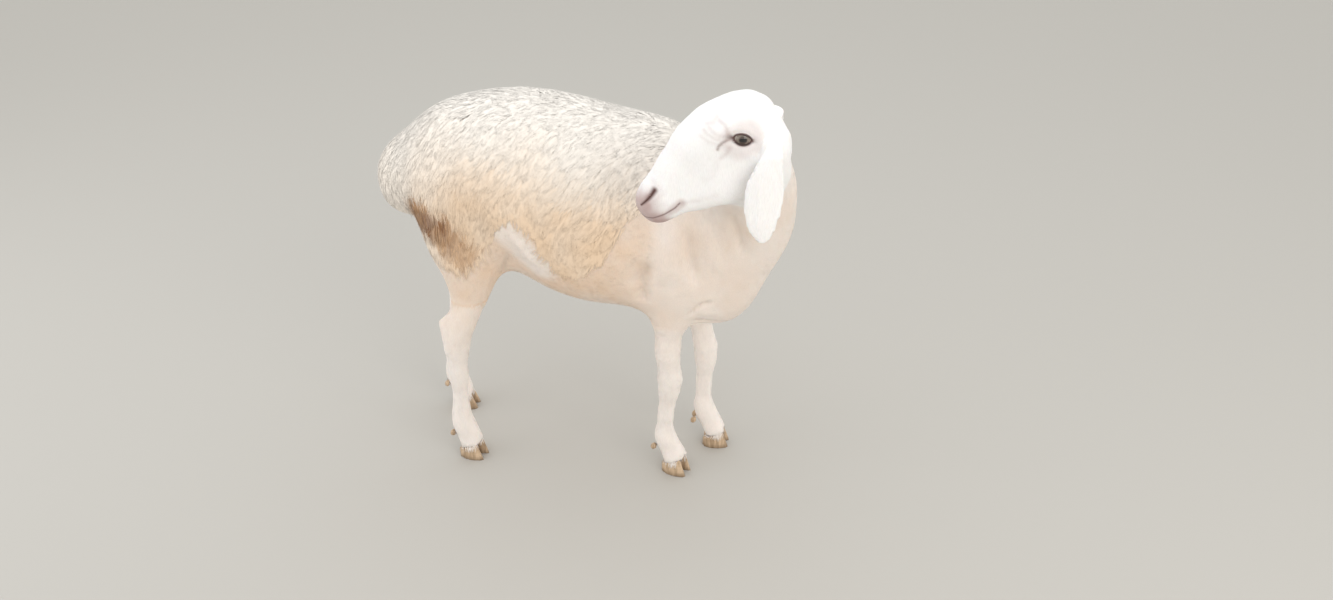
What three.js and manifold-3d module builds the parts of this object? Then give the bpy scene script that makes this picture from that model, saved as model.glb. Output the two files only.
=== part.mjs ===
// A young long-eared fat-tailed sheep, standing still and looking back over its right shoulder.
// Millimetres, +Z up, +X towards the chest, +Y to the animal's left.
// Every outline runs to the tips of the coat. The body is one smooth field of rounded forms.
// Rings of points are laid on that field, joined into one solid, and the solid is parted into
// the pieces a person would name, with a thin gap between neighbours.
import * as THREE from "three";
import { mergeVertices } from "three/addons/utils/BufferGeometryUtils.js";
import Module from "manifold-3d";

const wasm = await Module();
wasm.setup();

// ---------------------------------------------------------------- driving dimensions
const BACK_HEIGHT = 769; // wool tips above the ribs
const RIB_DEPTH = 379; // wool tips to belly
const RIB_WIDTH = 300;
const RUMP_X = -200; // centre of the croup
const BREAST_X = 300; // centre of the breast
const CLAW_LENGTH = 58; // heel to toe along the ground
const CLAW_WIDTH = 22;
const CLEFT = 2.4; // between the two claws of a foot
const CORONET_HEIGHT = 28; // top of the horn above the middle of the sole
const CORONET_SLOPE = 17; // degrees that the top of the horn falls to the heel
const HEAD_TURN = -168.4; // degrees about +Z: the muzzle points back past the shoulder
const HEAD_NOD = 38; // degrees that the face slopes down
const EYES_AT = v(343, -205, 840); // midway between the eyes
const EYE_OFFSET = 36.5; // eyeball's centre from the middle of the head
const EYE_SLANT = 47; // degrees that the slit of the eye rises towards the muzzle
const EYE_RADIUS = 14.5;
const LIP_GAP = 1.8; // height of the line between the closed lips
const EAR_LENGTH = 160;
const EAR_THICKNESS = 8;
const GAP = 0.35; // between two pieces that touch

function v(x, y, z) {
  return new THREE.Vector3(x, y, z);
}
const rad = THREE.MathUtils.degToRad;
const mix = THREE.MathUtils.lerp;

// ---------------------------------------------------------------- rounded forms
// A form is a function from a point to about its distance outside the surface, negative inside.

/** An egg with three half-lengths, turned about its centre. */
function egg(centre, half, turn = new THREE.Euler()) {
  const back = new THREE.Quaternion().setFromEuler(turn).invert();
  const p = v(0, 0, 0);
  return (at) => {
    p.subVectors(at, centre).applyQuaternion(back);
    const near = Math.hypot(p.x / half.x, p.y / half.y, p.z / half.z);
    const steep = Math.hypot(p.x / half.x ** 2, p.y / half.y ** 2, p.z / half.z ** 2);
    return steep < 1e-9 ? -Math.min(half.x, half.y, half.z) : (near * (near - 1)) / steep;
  };
}

/** A limb with round ends, from one point to another; narrow below 1 thins it across y. */
function limb(from, radiusFrom, to, radiusTo, narrow = 1) {
  const along = v(0, 0, 0).subVectors(to, from);
  const lengthSq = along.lengthSq();
  const p = v(0, 0, 0);
  return (at) => {
    p.subVectors(at, from);
    const t = THREE.MathUtils.clamp(p.dot(along) / lengthSq, 0, 1);
    p.addScaledVector(along, -t);
    p.y /= narrow;
    return (p.length() - mix(radiusFrom, radiusTo, t)) * narrow;
  };
}

/** Joins forms with a fillet about as wide as soft. */
function blend(soft, ...forms) {
  return (at) => {
    let nearest = forms[0](at);
    for (let i = 1; i < forms.length; i++) {
      const next = forms[i](at);
      const h = Math.max(soft - Math.abs(nearest - next), 0) / soft;
      nearest = Math.min(nearest, next) - (h * h * soft) / 4;
    }
    return nearest;
  };
}

/** Limbs end to end through stations of [point, radius]. */
function chain(soft, stations, narrow = 1) {
  const links = stations.slice(1).map(([to, radius], i) => {
    const [from, radiusFrom] = stations[i];
    return limb(from, radiusFrom, to, radius, narrow);
  });
  return blend(soft, ...links);
}

/** The same form on the left and on the right. */
const pair = (soft, make) => blend(soft, make(1), make(-1));

/** A form whose surface lies deeper by a depth. */
const shrunk = (depth, form) => (at) => form(at) + depth;

/** A form made in its own frame and carried to another. */
function carried(matrix, form) {
  const back = matrix.clone().invert();
  const p = v(0, 0, 0);
  return (at) => form(p.copy(at).applyMatrix4(back));
}

// ---------------------------------------------------------------- covering forms with rings

/** A closed mesh over rings of equally many points, with a pole before and after them. */
function skinOver(rings, firstPole, lastPole) {
  const sides = rings[0].length;
  const points = [firstPole, ...rings.flat(), lastPole];
  const at = (ring, side) => 1 + ring * sides + (side % sides);
  const index = [];
  for (let s = 0; s < sides; s++) {
    index.push(0, at(0, s + 1), at(0, s));
    for (let r = 0; r + 1 < rings.length; r++) {
      index.push(at(r, s), at(r, s + 1), at(r + 1, s + 1));
      index.push(at(r, s), at(r + 1, s + 1), at(r + 1, s));
    }
    index.push(points.length - 1, at(rings.length - 1, s), at(rings.length - 1, s + 1));
  }
  const geometry = new THREE.BufferGeometry().setFromPoints(points);
  geometry.setIndex(index);
  return geometry;
}

/** How far a form's surface lies from a point inside it, along a direction. */
function reachOf(form, from, direction, farthest) {
  const p = v(0, 0, 0);
  const value = (t) => form(p.copy(from).addScaledVector(direction, t));
  let low = 0;
  let high = 0;
  while (value(high) < 0) {
    low = high;
    high += Math.max(-value(high) * 0.7, 1);
    if (high >= farthest) return farthest;
  }
  for (let i = 0; i < 12; i++) {
    const middle = (low + high) / 2;
    if (value(middle) < 0) low = middle;
    else high = middle;
  }
  return high;
}

/**
 * Covers a form with rings round a spine of [point, farthest reach] stations,
 * with dome rings before the spine and front rings beyond it.
 */
function cover(form, stations, { rings, sides, dome = 3, front = dome, up = v(0, 0, 1) }) {
  const places = stations.map(([point]) => point);
  const curve = new THREE.CatmullRomCurve3(places, false, "centripetal");
  const farthestAt = (t) => {
    const i = Math.min(Math.floor(t * (stations.length - 1)), stations.length - 2);
    return mix(stations[i][1], stations[i + 1][1], t * (stations.length - 1) - i);
  };
  const touch = (t, direction) => {
    const centre = curve.getPoint(t);
    const reach = reachOf(form, centre, direction, farthestAt(t));
    return centre.addScaledVector(direction, reach);
  };
  const ring = (t, lean) => {
    const tangent = curve.getTangent(t);
    const across = v(0, 0, 0).crossVectors(up, tangent).normalize();
    const over = v(0, 0, 0).crossVectors(tangent, across);
    return Array.from({ length: sides }, (_, s) => {
      const angle = (2 * Math.PI * (s + 0.5)) / sides;
      const direction = v(0, 0, 0)
        .addScaledVector(across, Math.cos(angle) * Math.cos(lean))
        .addScaledVector(over, Math.sin(angle) * Math.cos(lean))
        .addScaledVector(tangent, Math.sin(lean));
      return touch(t, direction);
    });
  };
  const made = [];
  for (let i = dome; i > 0; i--) made.push(ring(0, (-i * Math.PI) / 2 / (dome + 1)));
  for (let i = 0; i < rings; i++) made.push(ring(i / (rings - 1), 0));
  for (let i = 1; i <= front; i++) made.push(ring(1, (i * Math.PI) / 2 / (front + 1)));
  return skinOver(made, touch(0, curve.getTangent(0).negate()), touch(1, curve.getTangent(1)));
}

// ---------------------------------------------------------------- solids

/** A closed geometry as a solid. */
function solid(geometry) {
  const bare = geometry.clone();
  bare.deleteAttribute("normal");
  bare.deleteAttribute("uv");
  const merged = mergeVertices(bare, 1e-4);
  return new wasm.Manifold(
    new wasm.Mesh({
      numProp: 3,
      vertProperties: merged.attributes.position.array,
      triVerts: new Uint32Array(merged.index.array),
    }),
  );
}

/** The largest body of a solid, without crumbs and sealed pockets. */
function largest(made) {
  return made.decompose().reduce((a, b) => (a.volume() > b.volume() ? a : b));
}

/** The geometry of a solid's largest body. */
function geometryOf(made) {
  const mesh = largest(made).getMesh();
  const places = new Float32Array(mesh.numVert * 3);
  for (let i = 0; i < mesh.numVert; i++) {
    const from = i * mesh.numProp;
    places.set(mesh.vertProperties.subarray(from, from + 3), i * 3);
  }
  const geometry = new THREE.BufferGeometry();
  geometry.setAttribute("position", new THREE.BufferAttribute(places, 3));
  geometry.setIndex(new THREE.BufferAttribute(mesh.triVerts, 1));
  return geometry;
}

/** A box between two corners, grown on all sides, then carried. */
function block(low, high, grow = 0, matrix = new THREE.Matrix4()) {
  const size = v(0, 0, 0).subVectors(high, low).addScalar(2 * grow);
  const middle = v(0, 0, 0).addVectors(low, high).multiplyScalar(0.5);
  const geometry = new THREE.BoxGeometry(size.x, size.y, size.z);
  return solid(geometry.translate(middle.x, middle.y, middle.z).applyMatrix4(matrix));
}

/** The space beyond a plane: a slab as wide and as deep as given, moved back by grow. */
function beyond(point, normal, halfWidth, depth, grow) {
  const turn = new THREE.Quaternion().setFromUnitVectors(v(0, 0, 1), normal.clone().normalize());
  const place = new THREE.Matrix4().makeRotationFromQuaternion(turn).setPosition(point);
  return block(v(-halfWidth, -halfWidth, 0), v(halfWidth, halfWidth, depth), grow, place);
}

/** A frame at a point, turned by degrees about X, then Y, then Z. */
function frameAt(point, degX, degY, degZ) {
  const turn = new THREE.Euler(rad(degX), rad(degY), rad(degZ), "ZYX");
  return new THREE.Matrix4().makeRotationFromEuler(turn).setPosition(point);
}

// ---------------------------------------------------------------- trunk, neck and tail

const barrelForm = blend(
  60,
  egg(v(75, 0, BACK_HEIGHT - RIB_DEPTH / 2), v(235, RIB_WIDTH / 2, RIB_DEPTH / 2)),
  egg(v(-75, 0, 642), v(190, 142, 151)),
  egg(v(RUMP_X, 0, 640), v(112, 126, 112)),
  egg(v(175, 0, 633), v(120, 98, 98)),
  pair(40, (side) => egg(v(212, 66 * side, 520), v(72, 52, 132))),
  egg(v(BREAST_X - 12, 0, 460), v(80, 74, 104)),
  egg(v(BREAST_X + 12, 0, 535), v(80, 78, 80)),
);
const thighsForm = pair(40, (side) => egg(v(RUMP_X + 26, 80 * side, 530), v(78, 58, 127)));
const trunkForm = blend(30, barrelForm, thighsForm);
const TAIL_LOBES = blend(
  40,
  egg(v(-296, 0, 630), v(60, 78, 62)),
  egg(v(-308, 0, 588), v(48, 62, 58)),
);
const NECK = [
  [v(250, 0, 590), 104],
  [v(318, 2, 592), 92],
  [v(338, -50, 668), 72],
  [v(342, -112, 730), 58],
  [v(359, -174, 772), 46],
  [v(380, -208, 808), 36],
];
const neckForm = chain(60, NECK);
const bodyForm = blend(34, trunkForm, TAIL_LOBES, neckForm);

// ---------------------------------------------------------------- head
// The head's own frame starts midway between the eyes, with +X to the muzzle, +Z to the crown.

const headPlace = frameAt(EYES_AT, 0, HEAD_NOD, HEAD_TURN);
const skullForm = blend(
  20,
  egg(v(-12, 0, 2), v(50, 44, 48)),
  egg(v(26, 0, 11), v(60, 45, 47)),
  chain(10, [
    [v(40, 0, 18), 40],
    [v(72, 0, 17), 38],
    [v(114, 0, 7), 31],
    [v(150, 0, -2), 27],
  ], 0.92),
  egg(v(178, 0, -14), v(27, 27, 29)),
  egg(v(178, 0, -37), v(22, 20, 13)),
  pair(10, (side) => limb(v(68, 22 * side, -62), 21, v(112, 14 * side, -49), 17)),
  pair(10, (side) => limb(v(112, 14 * side, -49), 17, v(168, 8 * side, -38), 11)),
  pair(10, (side) => egg(v(52, 27 * side, -38), v(50, 19, 42))),
  pair(10, (side) => egg(v(122, 12 * side, -20), v(56, 15, 24))),
  pair(12, (side) => egg(v(2, 32 * side, 1), v(32, 16, 27), new THREE.Euler(0, -0.6, 0))),
  pair(10, (side) => egg(v(6, 36 * side, 17), v(26, 11, 10), new THREE.Euler(0, -0.5, 0))),
  egg(v(8, 0, -42), v(60, 44, 40)),
);
const headForm = carried(headPlace, skullForm);

// The left ear hangs plumb beside the cheek; the right one slopes along the bent neck.
const EARS = {
  left: {
    side: 1,
    root: v(-34, 40, -26),
    down: v(0, 0, -1),
    out: v(0, 1, 0).transformDirection(headPlace),
    reach: 1,
  },
  right: {
    side: -1,
    root: v(-38, -42, -36),
    down: v(-0.14, 0.79, -0.6).normalize(),
    out: v(0.04, 0.61, 0.79).normalize(),
    reach: 0.8,
  },
};

/** Lofts one lop ear: a root that leaves the head, then a leaf that narrows to a round tip. */
function earGeometry(ear, grow) {
  const { side, down, out } = ear;
  const root = ear.root.clone().applyMatrix4(headPlace);
  const ahead = v(0, 0, 0).crossVectors(down, out).multiplyScalar(side).normalize();
  // Stations down the ear: [drop, out, forward, half-width, half-thickness, curl]
  const sections = [
    [-2, 0, -3, 9, 8, 0],
    [1, 10, -3, 12, 8, 0],
    [8, 21, -2, 14, 8, 1],
    [20, 28, 1, 17.5, 7, 2],
    [38, 31, 5.5, 23.5, 5.5, 4],
    [60, 33, 8.5, 29.5, 4.6, 6],
    [84, 34, 9, 30.5, 4.2, 7],
    [106, 34, 10, 30, 4, 7],
    [124, 34, 10, 27, 4, 6],
    [139, 33, 10, 21.5, 3.8, 5],
    [150, 32, 9, 14, 3.4, 3],
    [156, 31, 9, 8, 3, 1],
  ];
  const place = (drop, sideways, forward) =>
    root
      .clone()
      .addScaledVector(down, (drop * EAR_LENGTH) / 160)
      .addScaledVector(out, sideways * ear.reach)
      .addScaledVector(ahead, forward);
  const rings = sections.map(([drop, sideways, forward, half, thick, curl], i) => {
    const next = sections[Math.min(i + 1, sections.length - 1)];
    const last = sections[Math.max(i - 1, 0)];
    const along = place(...next).sub(place(...last)).normalize();
    const outward = v(0, 0, 0).crossVectors(ahead, along).normalize().multiplyScalar(side);
    return Array.from({ length: 10 }, (_, s) => {
      const angle = (-2 * Math.PI * s * side) / 10;
      const width = Math.cos(angle);
      const bend = -curl * width * width;
      return place(drop, sideways, forward)
        .addScaledVector(ahead, (half + grow) * width)
        .addScaledVector(outward, ((thick * EAR_THICKNESS) / 8 + grow) * Math.sin(angle) + bend);
    });
  });
  const tip = sections[sections.length - 1];
  return skinOver(rings, place(-3, -5 - 2 * grow, 0), place(tip[0] + 3 + grow, tip[1] - 1, tip[2]));
}

/** One eyeball, or the ball of lids over it when it is grown. */
function eyeball(side, grow = 0) {
  const ball = new THREE.SphereGeometry(EYE_RADIUS + grow, 14, 8).rotateX(Math.PI / 2);
  return ball.translate(0, EYE_OFFSET * side, 0);
}

/** The almond gap between the eyelids, as a prism that runs outwards through the lids. */
function lidOpening(side) {
  const rise = -side; // the extrusion below turns the shape over on the left
  const shape = new THREE.Shape();
  shape.moveTo(15.5, -rise);
  shape.bezierCurveTo(8, 10.5 * rise, -8, 10.5 * rise, -15, 0);
  shape.bezierCurveTo(-8, -9 * rise, 8, -10 * rise, 15.5, -rise);
  const options = { depth: 30, bevelEnabled: false, curveSegments: 4 };
  const prism = new THREE.ExtrudeGeometry(shape, options).rotateX((-side * Math.PI) / 2);
  return prism.rotateY(-rad(EYE_SLANT)).translate(0, (EYE_OFFSET + 2) * side, 0);
}

/** The slit of one nostril, as a long drop let into the muzzle. */
function nostril(side) {
  const drop = new THREE.SphereGeometry(1, 10, 6).scale(17, 5.5, 4);
  return drop.rotateY(0.1).rotateZ(-0.24 * side).translate(171, 22.5 * side, 4);
}

/** A slab as thin as the line of the mouth, which sags from the nose to the corners. */
function mouthSlab() {
  const line = [
    [210, -8],
    [200, -22.5],
    [188, -29],
    [168, -33.5],
    [150, -34.5],
    [139, -32],
  ];
  const lower = line.map(([x, y]) => new THREE.Vector2(x, y - LIP_GAP / 2));
  const upper = line.map(([x, y]) => new THREE.Vector2(x, y + LIP_GAP / 2));
  const shape = new THREE.Shape([...lower, ...upper.reverse()]);
  const prism = new THREE.ExtrudeGeometry(shape, { depth: 120, bevelEnabled: false });
  return prism.rotateX(Math.PI / 2).translate(0, 60, 0);
}

// ---------------------------------------------------------------- legs
// Stations run from the trunk to the coronet as [point, radius].

const LEGS = {
  fore_right: {
    side: -1,
    joints: [
      [v(206, -60, 470), 36],
      [v(208, -68, 405), 30],
      [v(204, -64, 318), 24],
      [v(207, -53, 248), 24],
      [v(204, -49, 216), 21],
      [v(196, -42, 150), 15.5],
      [v(192, -38, 100), 19.5],
      [v(197, -37, 78), 20],
      [v(211, -35, 54), 19],
    ],
    foot: v(217, -35, 0),
    toeOut: -18,
    top: 392,
  },
  fore_left: {
    side: 1,
    joints: [
      [v(222, 62, 470), 36],
      [v(228, 72, 405), 31],
      [v(240, 74, 318), 23.5],
      [v(256, 72, 248), 24],
      [v(257, 71, 216), 22],
      [v(254, 71, 150), 16],
      [v(254, 70, 100), 19.5],
      [v(261, 70, 78), 20],
      [v(277, 70, 54), 19],
    ],
    foot: v(284, 69, 0),
    toeOut: 2,
    top: 392,
  },
  hind_right: {
    side: -1,
    joints: [
      [v(-160, -76, 500), 44],
      [v(-170, -84, 430), 37],
      [v(-186, -93, 375), 29],
      [v(-205, -93, 325), 26],
      [v(-212, -91, 285), 22],
      [v(-220, -86, 220), 18],
      [v(-225, -81, 150), 16.5],
      [v(-230, -77, 98), 21],
      [v(-226, -75, 76), 22],
      [v(-216, -73, 54), 20],
    ],
    hock: [v(-236, -94, 341), 13],
    foot: v(-214, -72, 0),
    toeOut: -10,
    top: 404,
  },
  hind_left: {
    side: 1,
    joints: [
      [v(-172, 76, 500), 44],
      [v(-192, 84, 430), 37],
      [v(-230, 95, 375), 29],
      [v(-262, 97, 325), 26],
      [v(-275, 96, 285), 22],
      [v(-292, 93, 220), 18],
      [v(-304, 90, 150), 16.5],
      [v(-311, 88, 98), 21],
      [v(-308, 88, 76), 22],
      [v(-297, 87, 54), 20],
    ],
    hock: [v(-296, 99, 341), 13],
    foot: v(-292, 86, 0),
    toeOut: 6,
    top: 404,
  },
};

/** The knee of a fore leg, or the top of the hock's slope on a hind leg. */
const kneeOf = (leg) => leg.joints[4][0];

/** The fetlock, where the cannon ends and the pastern starts. */
const fetlockOf = (leg) => leg.joints.at(-3)[0];

/** The form of one leg, with the point of the hock where there is one. */
function legForm(leg) {
  const shaft = chain(12, leg.joints, 0.88);
  const below = leg.joints.at(-2)[0];
  const toe = (inner) => v(-5, inner * 11.5, 34).applyMatrix4(footFrame(leg));
  const digit = (inner) => limb(below, 18, toe(inner), 25, 0.52);
  const foot = blend(8, shaft, pair(6, digit));
  return leg.hock ? blend(16, foot, limb(...leg.hock, leg.joints[5][0], 12, 0.8)) : foot;
}

/** Rings over one leg; the first of them lie within the trunk. */
function legGeometry(leg) {
  const form = blend(34, shrunk(7, trunkForm), legForm(leg));
  const stations = leg.joints.map(([point, radius], i) => [point, i < 2 ? 58 : radius * 2]);
  return cover(form, stations, { rings: 17, sides: 10, dome: 2, up: v(1, 0, 0) });
}

/** The frame of one foot: its origin on the ground below the coronet, +X to the toes. */
const footFrame = (leg) => frameAt(leg.foot, 0, 0, leg.toeOut);

/** One claw of a cloven foot, before the sloping top is trimmed; inner is -1 or 1. */
function clawGeometry(inner) {
  // Rings from the sole up: [height, length share, width share, backward shift]
  const levels = [
    [0, 0.98, 0.97, 0],
    [24, 0.88, 0.97, 4],
    [48, 0.76, 0.9, 8],
  ];
  const rings = levels.map(([z, long, wide, back]) =>
    Array.from({ length: 10 }, (_, s) => {
      const angle = (2 * Math.PI * s) / 10;
      const across = Math.sin(angle) * inner;
      const flat = across < 0 ? 0.8 : 1.15;
      const taper = 1 - 0.22 * Math.cos(angle);
      const x = (CLAW_LENGTH / 2) * long * Math.cos(angle) - back;
      const y = (CLAW_WIDTH / 2) * wide * taper * flat * Math.sin(angle);
      return v(x, y + (inner * (CLAW_WIDTH * 0.9 + CLEFT)) / 2, z);
    }),
  );
  const pole = ([z, , , back]) => v(-back, (inner * (CLAW_WIDTH + CLEFT)) / 2, z);
  return skinOver(rings, pole(levels[0]), pole(levels[2]));
}

/** The space below the coronet of a foot, which falls towards the heel. */
function hornSpace(leg, grow) {
  const place = footFrame(leg).multiply(frameAt(v(0, 0, CORONET_HEIGHT), 0, -CORONET_SLOPE, 0));
  return block(v(-90, -60, -120), v(90, 60, 0), grow, place);
}

/** A dewclaw: a small blunt horn behind the fetlock. */
function dewclawGeometry(leg, side, grow) {
  const nub = new THREE.SphereGeometry(1, 6, 5).scale(7 + grow, 6.5 + grow, 10 + grow);
  const turned = nub.applyMatrix4(frameAt(v(-19, 11 * side, 62), 0, 24, 0));
  const { x, y } = fetlockOf(leg);
  return turned.applyMatrix4(frameAt(v(x, y, 0), 0, 0, leg.toeOut));
}

// ---------------------------------------------------------------- spaces
// A space is where one piece may lie; its neighbours are cut by the same space, grown by the gap.

const tailSpace = (grow) => beyond(v(-292, 0, 640), v(-1, 0, -0.05), 170, 150, grow);
const neckSpace = (grow) => beyond(v(318, 0, 617), v(0.866, 0, 0.5), 340, 240, grow);
const upTheNeck = v(-0.47, 0.62, 0.62).transformDirection(headPlace);
const throat = v(36, -78, -92).applyMatrix4(headPlace);
const headSpace = (grow) => beyond(throat, upTheNeck, 260, 340, grow);

// ---------------------------------------------------------------- pieces

const group = new THREE.Group();

/** Adds one named node to the group. */
function add(name, made, colour, roughness) {
  const material = new THREE.MeshStandardMaterial({ color: colour, roughness, metalness: 0 });
  const mesh = new THREE.Mesh(geometryOf(made), material);
  mesh.name = name;
  group.add(mesh);
}
const WOOL = 0xe9e2d6;
const HAIR = 0xe6dccf;
const HORN = 0x8a7358;
const EYE = 0x6b5a45;

const trunkStations = [
  [v(-250, 0, 620), 420],
  [v(-100, 0, 625), 420],
  [v(60, 0, 590), 420],
  [v(200, 0, 575), 420],
  [v(300, 0, 570), 420],
];
const trunkRings = { rings: 17, sides: 28, dome: 5, front: 8 };
let trunk = solid(cover(bodyForm, trunkStations, trunkRings));
add("tail", trunk.intersect(tailSpace(0)), WOOL, 0.95);
trunk = trunk.subtract(tailSpace(GAP)).subtract(neckSpace(GAP));

/** The layer of space between two heights, less half the gap at each. */
function layer(low, high) {
  return block(v(-400, -200, low + GAP / 2), v(400, 200, high - GAP / 2));
}

for (const [name, leg] of Object.entries(LEGS)) {
  let whole = solid(legGeometry(leg)).subtract(hornSpace(leg, GAP));
  for (const inner of [1, -1]) {
    const which = inner * leg.side > 0 ? "outer" : "inner";
    const claw = solid(clawGeometry(inner).applyMatrix4(footFrame(leg)));
    add(name + "_claw_" + which, claw.intersect(hornSpace(leg, 0)), HORN, 0.5);
    add(name + "_dewclaw_" + which, solid(dewclawGeometry(leg, inner, 0)), HORN, 0.6);
    whole = whole.subtract(solid(dewclawGeometry(leg, inner, GAP)));
  }
  const ankle = fetlockOf(leg).z + 2;
  const knee = kneeOf(leg).z - 22;
  add(name + "_pastern", whole.intersect(layer(0, ankle)), HAIR, 0.95);
  add(name + "_cannon", whole.intersect(layer(ankle, knee)), HAIR, 0.95);
  add(name + "_upper", whole.intersect(layer(knee, leg.top)), HAIR, 0.95);
  trunk = trunk.subtract(whole.intersect(layer(0, leg.top + GAP)));
  trunk = trunk.add(whole.intersect(layer(leg.top, 700)));
}
add("trunk", trunk, WOOL, 0.95);

const neckStations = [
  [v(285, 30, 530), 200],
  [v(316, 2, 596), 190],
  [v(338, -50, 668), 140],
  [v(342, -112, 730), 115],
  [v(354, -164, 778), 100],
  [v(370, -190, 824), 90],
];
const neckRings = { rings: 15, sides: 20, dome: 2 };
let neck = solid(cover(blend(30, bodyForm, headForm), neckStations, neckRings));
neck = neck.intersect(neckSpace(0)).subtract(headSpace(GAP));

const headStations = [
  [v(-12, 0, -8), 200],
  [v(40, 0, -10), 200],
  [v(110, 0, -16), 120],
  [v(174, 0, -18), 50],
];
const neckFromHead = carried(headPlace.clone().invert(), neckForm);
const headRings = { rings: 18, sides: 24, dome: 4 };
let head = solid(cover(blend(26, skullForm, neckFromHead), headStations, headRings));
const lips = solid(cover(shrunk(3.5, skullForm), headStations, { rings: 6, sides: 12, dome: 2 }));
head = head.subtract(solid(mouthSlab()).subtract(lips));
for (const side of [1, -1]) {
  head = head.subtract(solid(nostril(side)));
  head = head.add(solid(eyeball(side, 2.4)));
  head = head.subtract(solid(lidOpening(side))).subtract(solid(eyeball(side, GAP)));
}
head = solid(geometryOf(head).applyMatrix4(headPlace)).intersect(headSpace(0));
for (const [name, ear] of Object.entries(EARS)) {
  add("eye_" + name, solid(eyeball(ear.side).applyMatrix4(headPlace)), EYE, 0.1);
  add("ear_" + name, solid(earGeometry(ear, 0)), HAIR, 0.9);
  const room = solid(earGeometry(ear, 2 * GAP));
  neck = neck.subtract(room);
  head = head.subtract(room);
}
add("neck", neck, HAIR, 0.95);
add("head", head, HAIR, 0.9);

const bounds = new THREE.Box3().setFromObject(group);
const middle = bounds.getCenter(v(0, 0, 0));
group.position.set(-middle.x, -middle.y, 0);

export default group;
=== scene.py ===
"""Scene of a young lop-eared sheep with a soft fleece, standing and looking back over its shoulder.

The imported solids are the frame. One skin is drawn over the solids of flesh and sunk by the depth of the
coat. The fleece and the short hair are laid on that skin as solid tufts, and the eyes, the rims of their
lids and the horn of the feet are pieces of their own.
"""
import logging
import math
from dataclasses import dataclass, field
from enum import Enum

import bmesh
import bpy
import numpy as np
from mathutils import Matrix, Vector
from mathutils.bvhtree import BVHTree
from mathutils.kdtree import KDTree


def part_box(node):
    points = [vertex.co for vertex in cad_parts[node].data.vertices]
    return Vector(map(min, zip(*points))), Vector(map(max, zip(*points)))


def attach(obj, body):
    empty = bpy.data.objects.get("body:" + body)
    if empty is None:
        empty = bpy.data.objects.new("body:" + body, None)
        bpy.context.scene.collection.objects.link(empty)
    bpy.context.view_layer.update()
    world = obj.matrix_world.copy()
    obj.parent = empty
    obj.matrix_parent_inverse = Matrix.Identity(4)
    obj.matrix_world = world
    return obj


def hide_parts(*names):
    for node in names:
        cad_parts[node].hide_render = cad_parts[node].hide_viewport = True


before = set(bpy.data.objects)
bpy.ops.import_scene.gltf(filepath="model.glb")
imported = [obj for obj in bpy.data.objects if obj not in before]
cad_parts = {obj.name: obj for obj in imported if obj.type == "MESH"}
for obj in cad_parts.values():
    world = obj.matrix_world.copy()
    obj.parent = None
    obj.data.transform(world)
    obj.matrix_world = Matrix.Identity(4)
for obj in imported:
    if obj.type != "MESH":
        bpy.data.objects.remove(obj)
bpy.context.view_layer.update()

Array = np.ndarray
Line = tuple[tuple[float, ...], ...]
Span = tuple[float, float]
MM = 0.001
LOG = logging.getLogger("sheep")
# Slope of the face below the level, in degrees.
NOD_DEG = 38.0
# The two numbers of a place that are seen from the side: forward and up.
FROM_SIDE = [0, 2]
LEGS = ("fore_right", "fore_left", "hind_right", "hind_left")
SEGMENTS = ("upper", "cannon", "pastern")
TRUNK = ("trunk", "tail")
EARS = ("ear_left", "ear_right")
EYES = ("eye_left", "eye_right")
FLESH = (*TRUNK, "neck", "head", *EARS, *(f"{leg}_{segment}" for leg in LEGS for segment in SEGMENTS))


# How far the skin is rounded over each node: wholly on the trunk, hardly on the thin ears and the feet.
ROUNDED = {
    "trunk": 1.0,
    "tail": 1.0,
    "neck": 0.8,
    "head": 0.16,
    **{ear: 0.035 for ear in EARS},
    **{f"{leg}_pastern": 0.07 for leg in LEGS},
}
ROUNDED_ELSE = 0.13
ROUNDED_NAPE = 0.5
# How deep the short coat is over each node, in millimetres.
HAIR_MM = {"trunk": 1.2, "tail": 1.2, "neck": 1.2, "head": 0.8, **{ear: 0.7 for ear in EARS}}
HAIR_MM_ELSE = 1.3


# ------------------------------------------------------------------ small helpers
def linear(code: str) -> tuple[float, float, float, float]:
    """Turn an sRGB hex colour into linear light.

    Args:
        code: Six hex digits, such as "f2eee8".

    Returns:
        Red, green, blue and an alpha of one.
    """
    parts = [int(code[i : i + 2], 16) / 255 for i in (0, 2, 4)]
    light = [p / 12.92 if p <= 0.04045 else ((p + 0.055) / 1.055) ** 2.4 for p in parts]
    return (light[0], light[1], light[2], 1.0)


def ease(value: Array, low: float, high: float) -> Array:
    """Rise smoothly from 0 at low to 1 at high.

    Args:
        value: Numbers to ease.
        low: Where the rise starts.
        high: Where it ends; it may be below low.

    Returns:
        Shares from 0 to 1.
    """
    t = np.clip((value - low) / (high - low), 0, 1)
    return t * t * (3 - 2 * t)


def unit(vectors: Array) -> Array:
    """Vectors scaled to length one."""
    return vectors / np.maximum(np.linalg.norm(vectors, axis=-1, keepdims=True), 1e-12)


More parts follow.
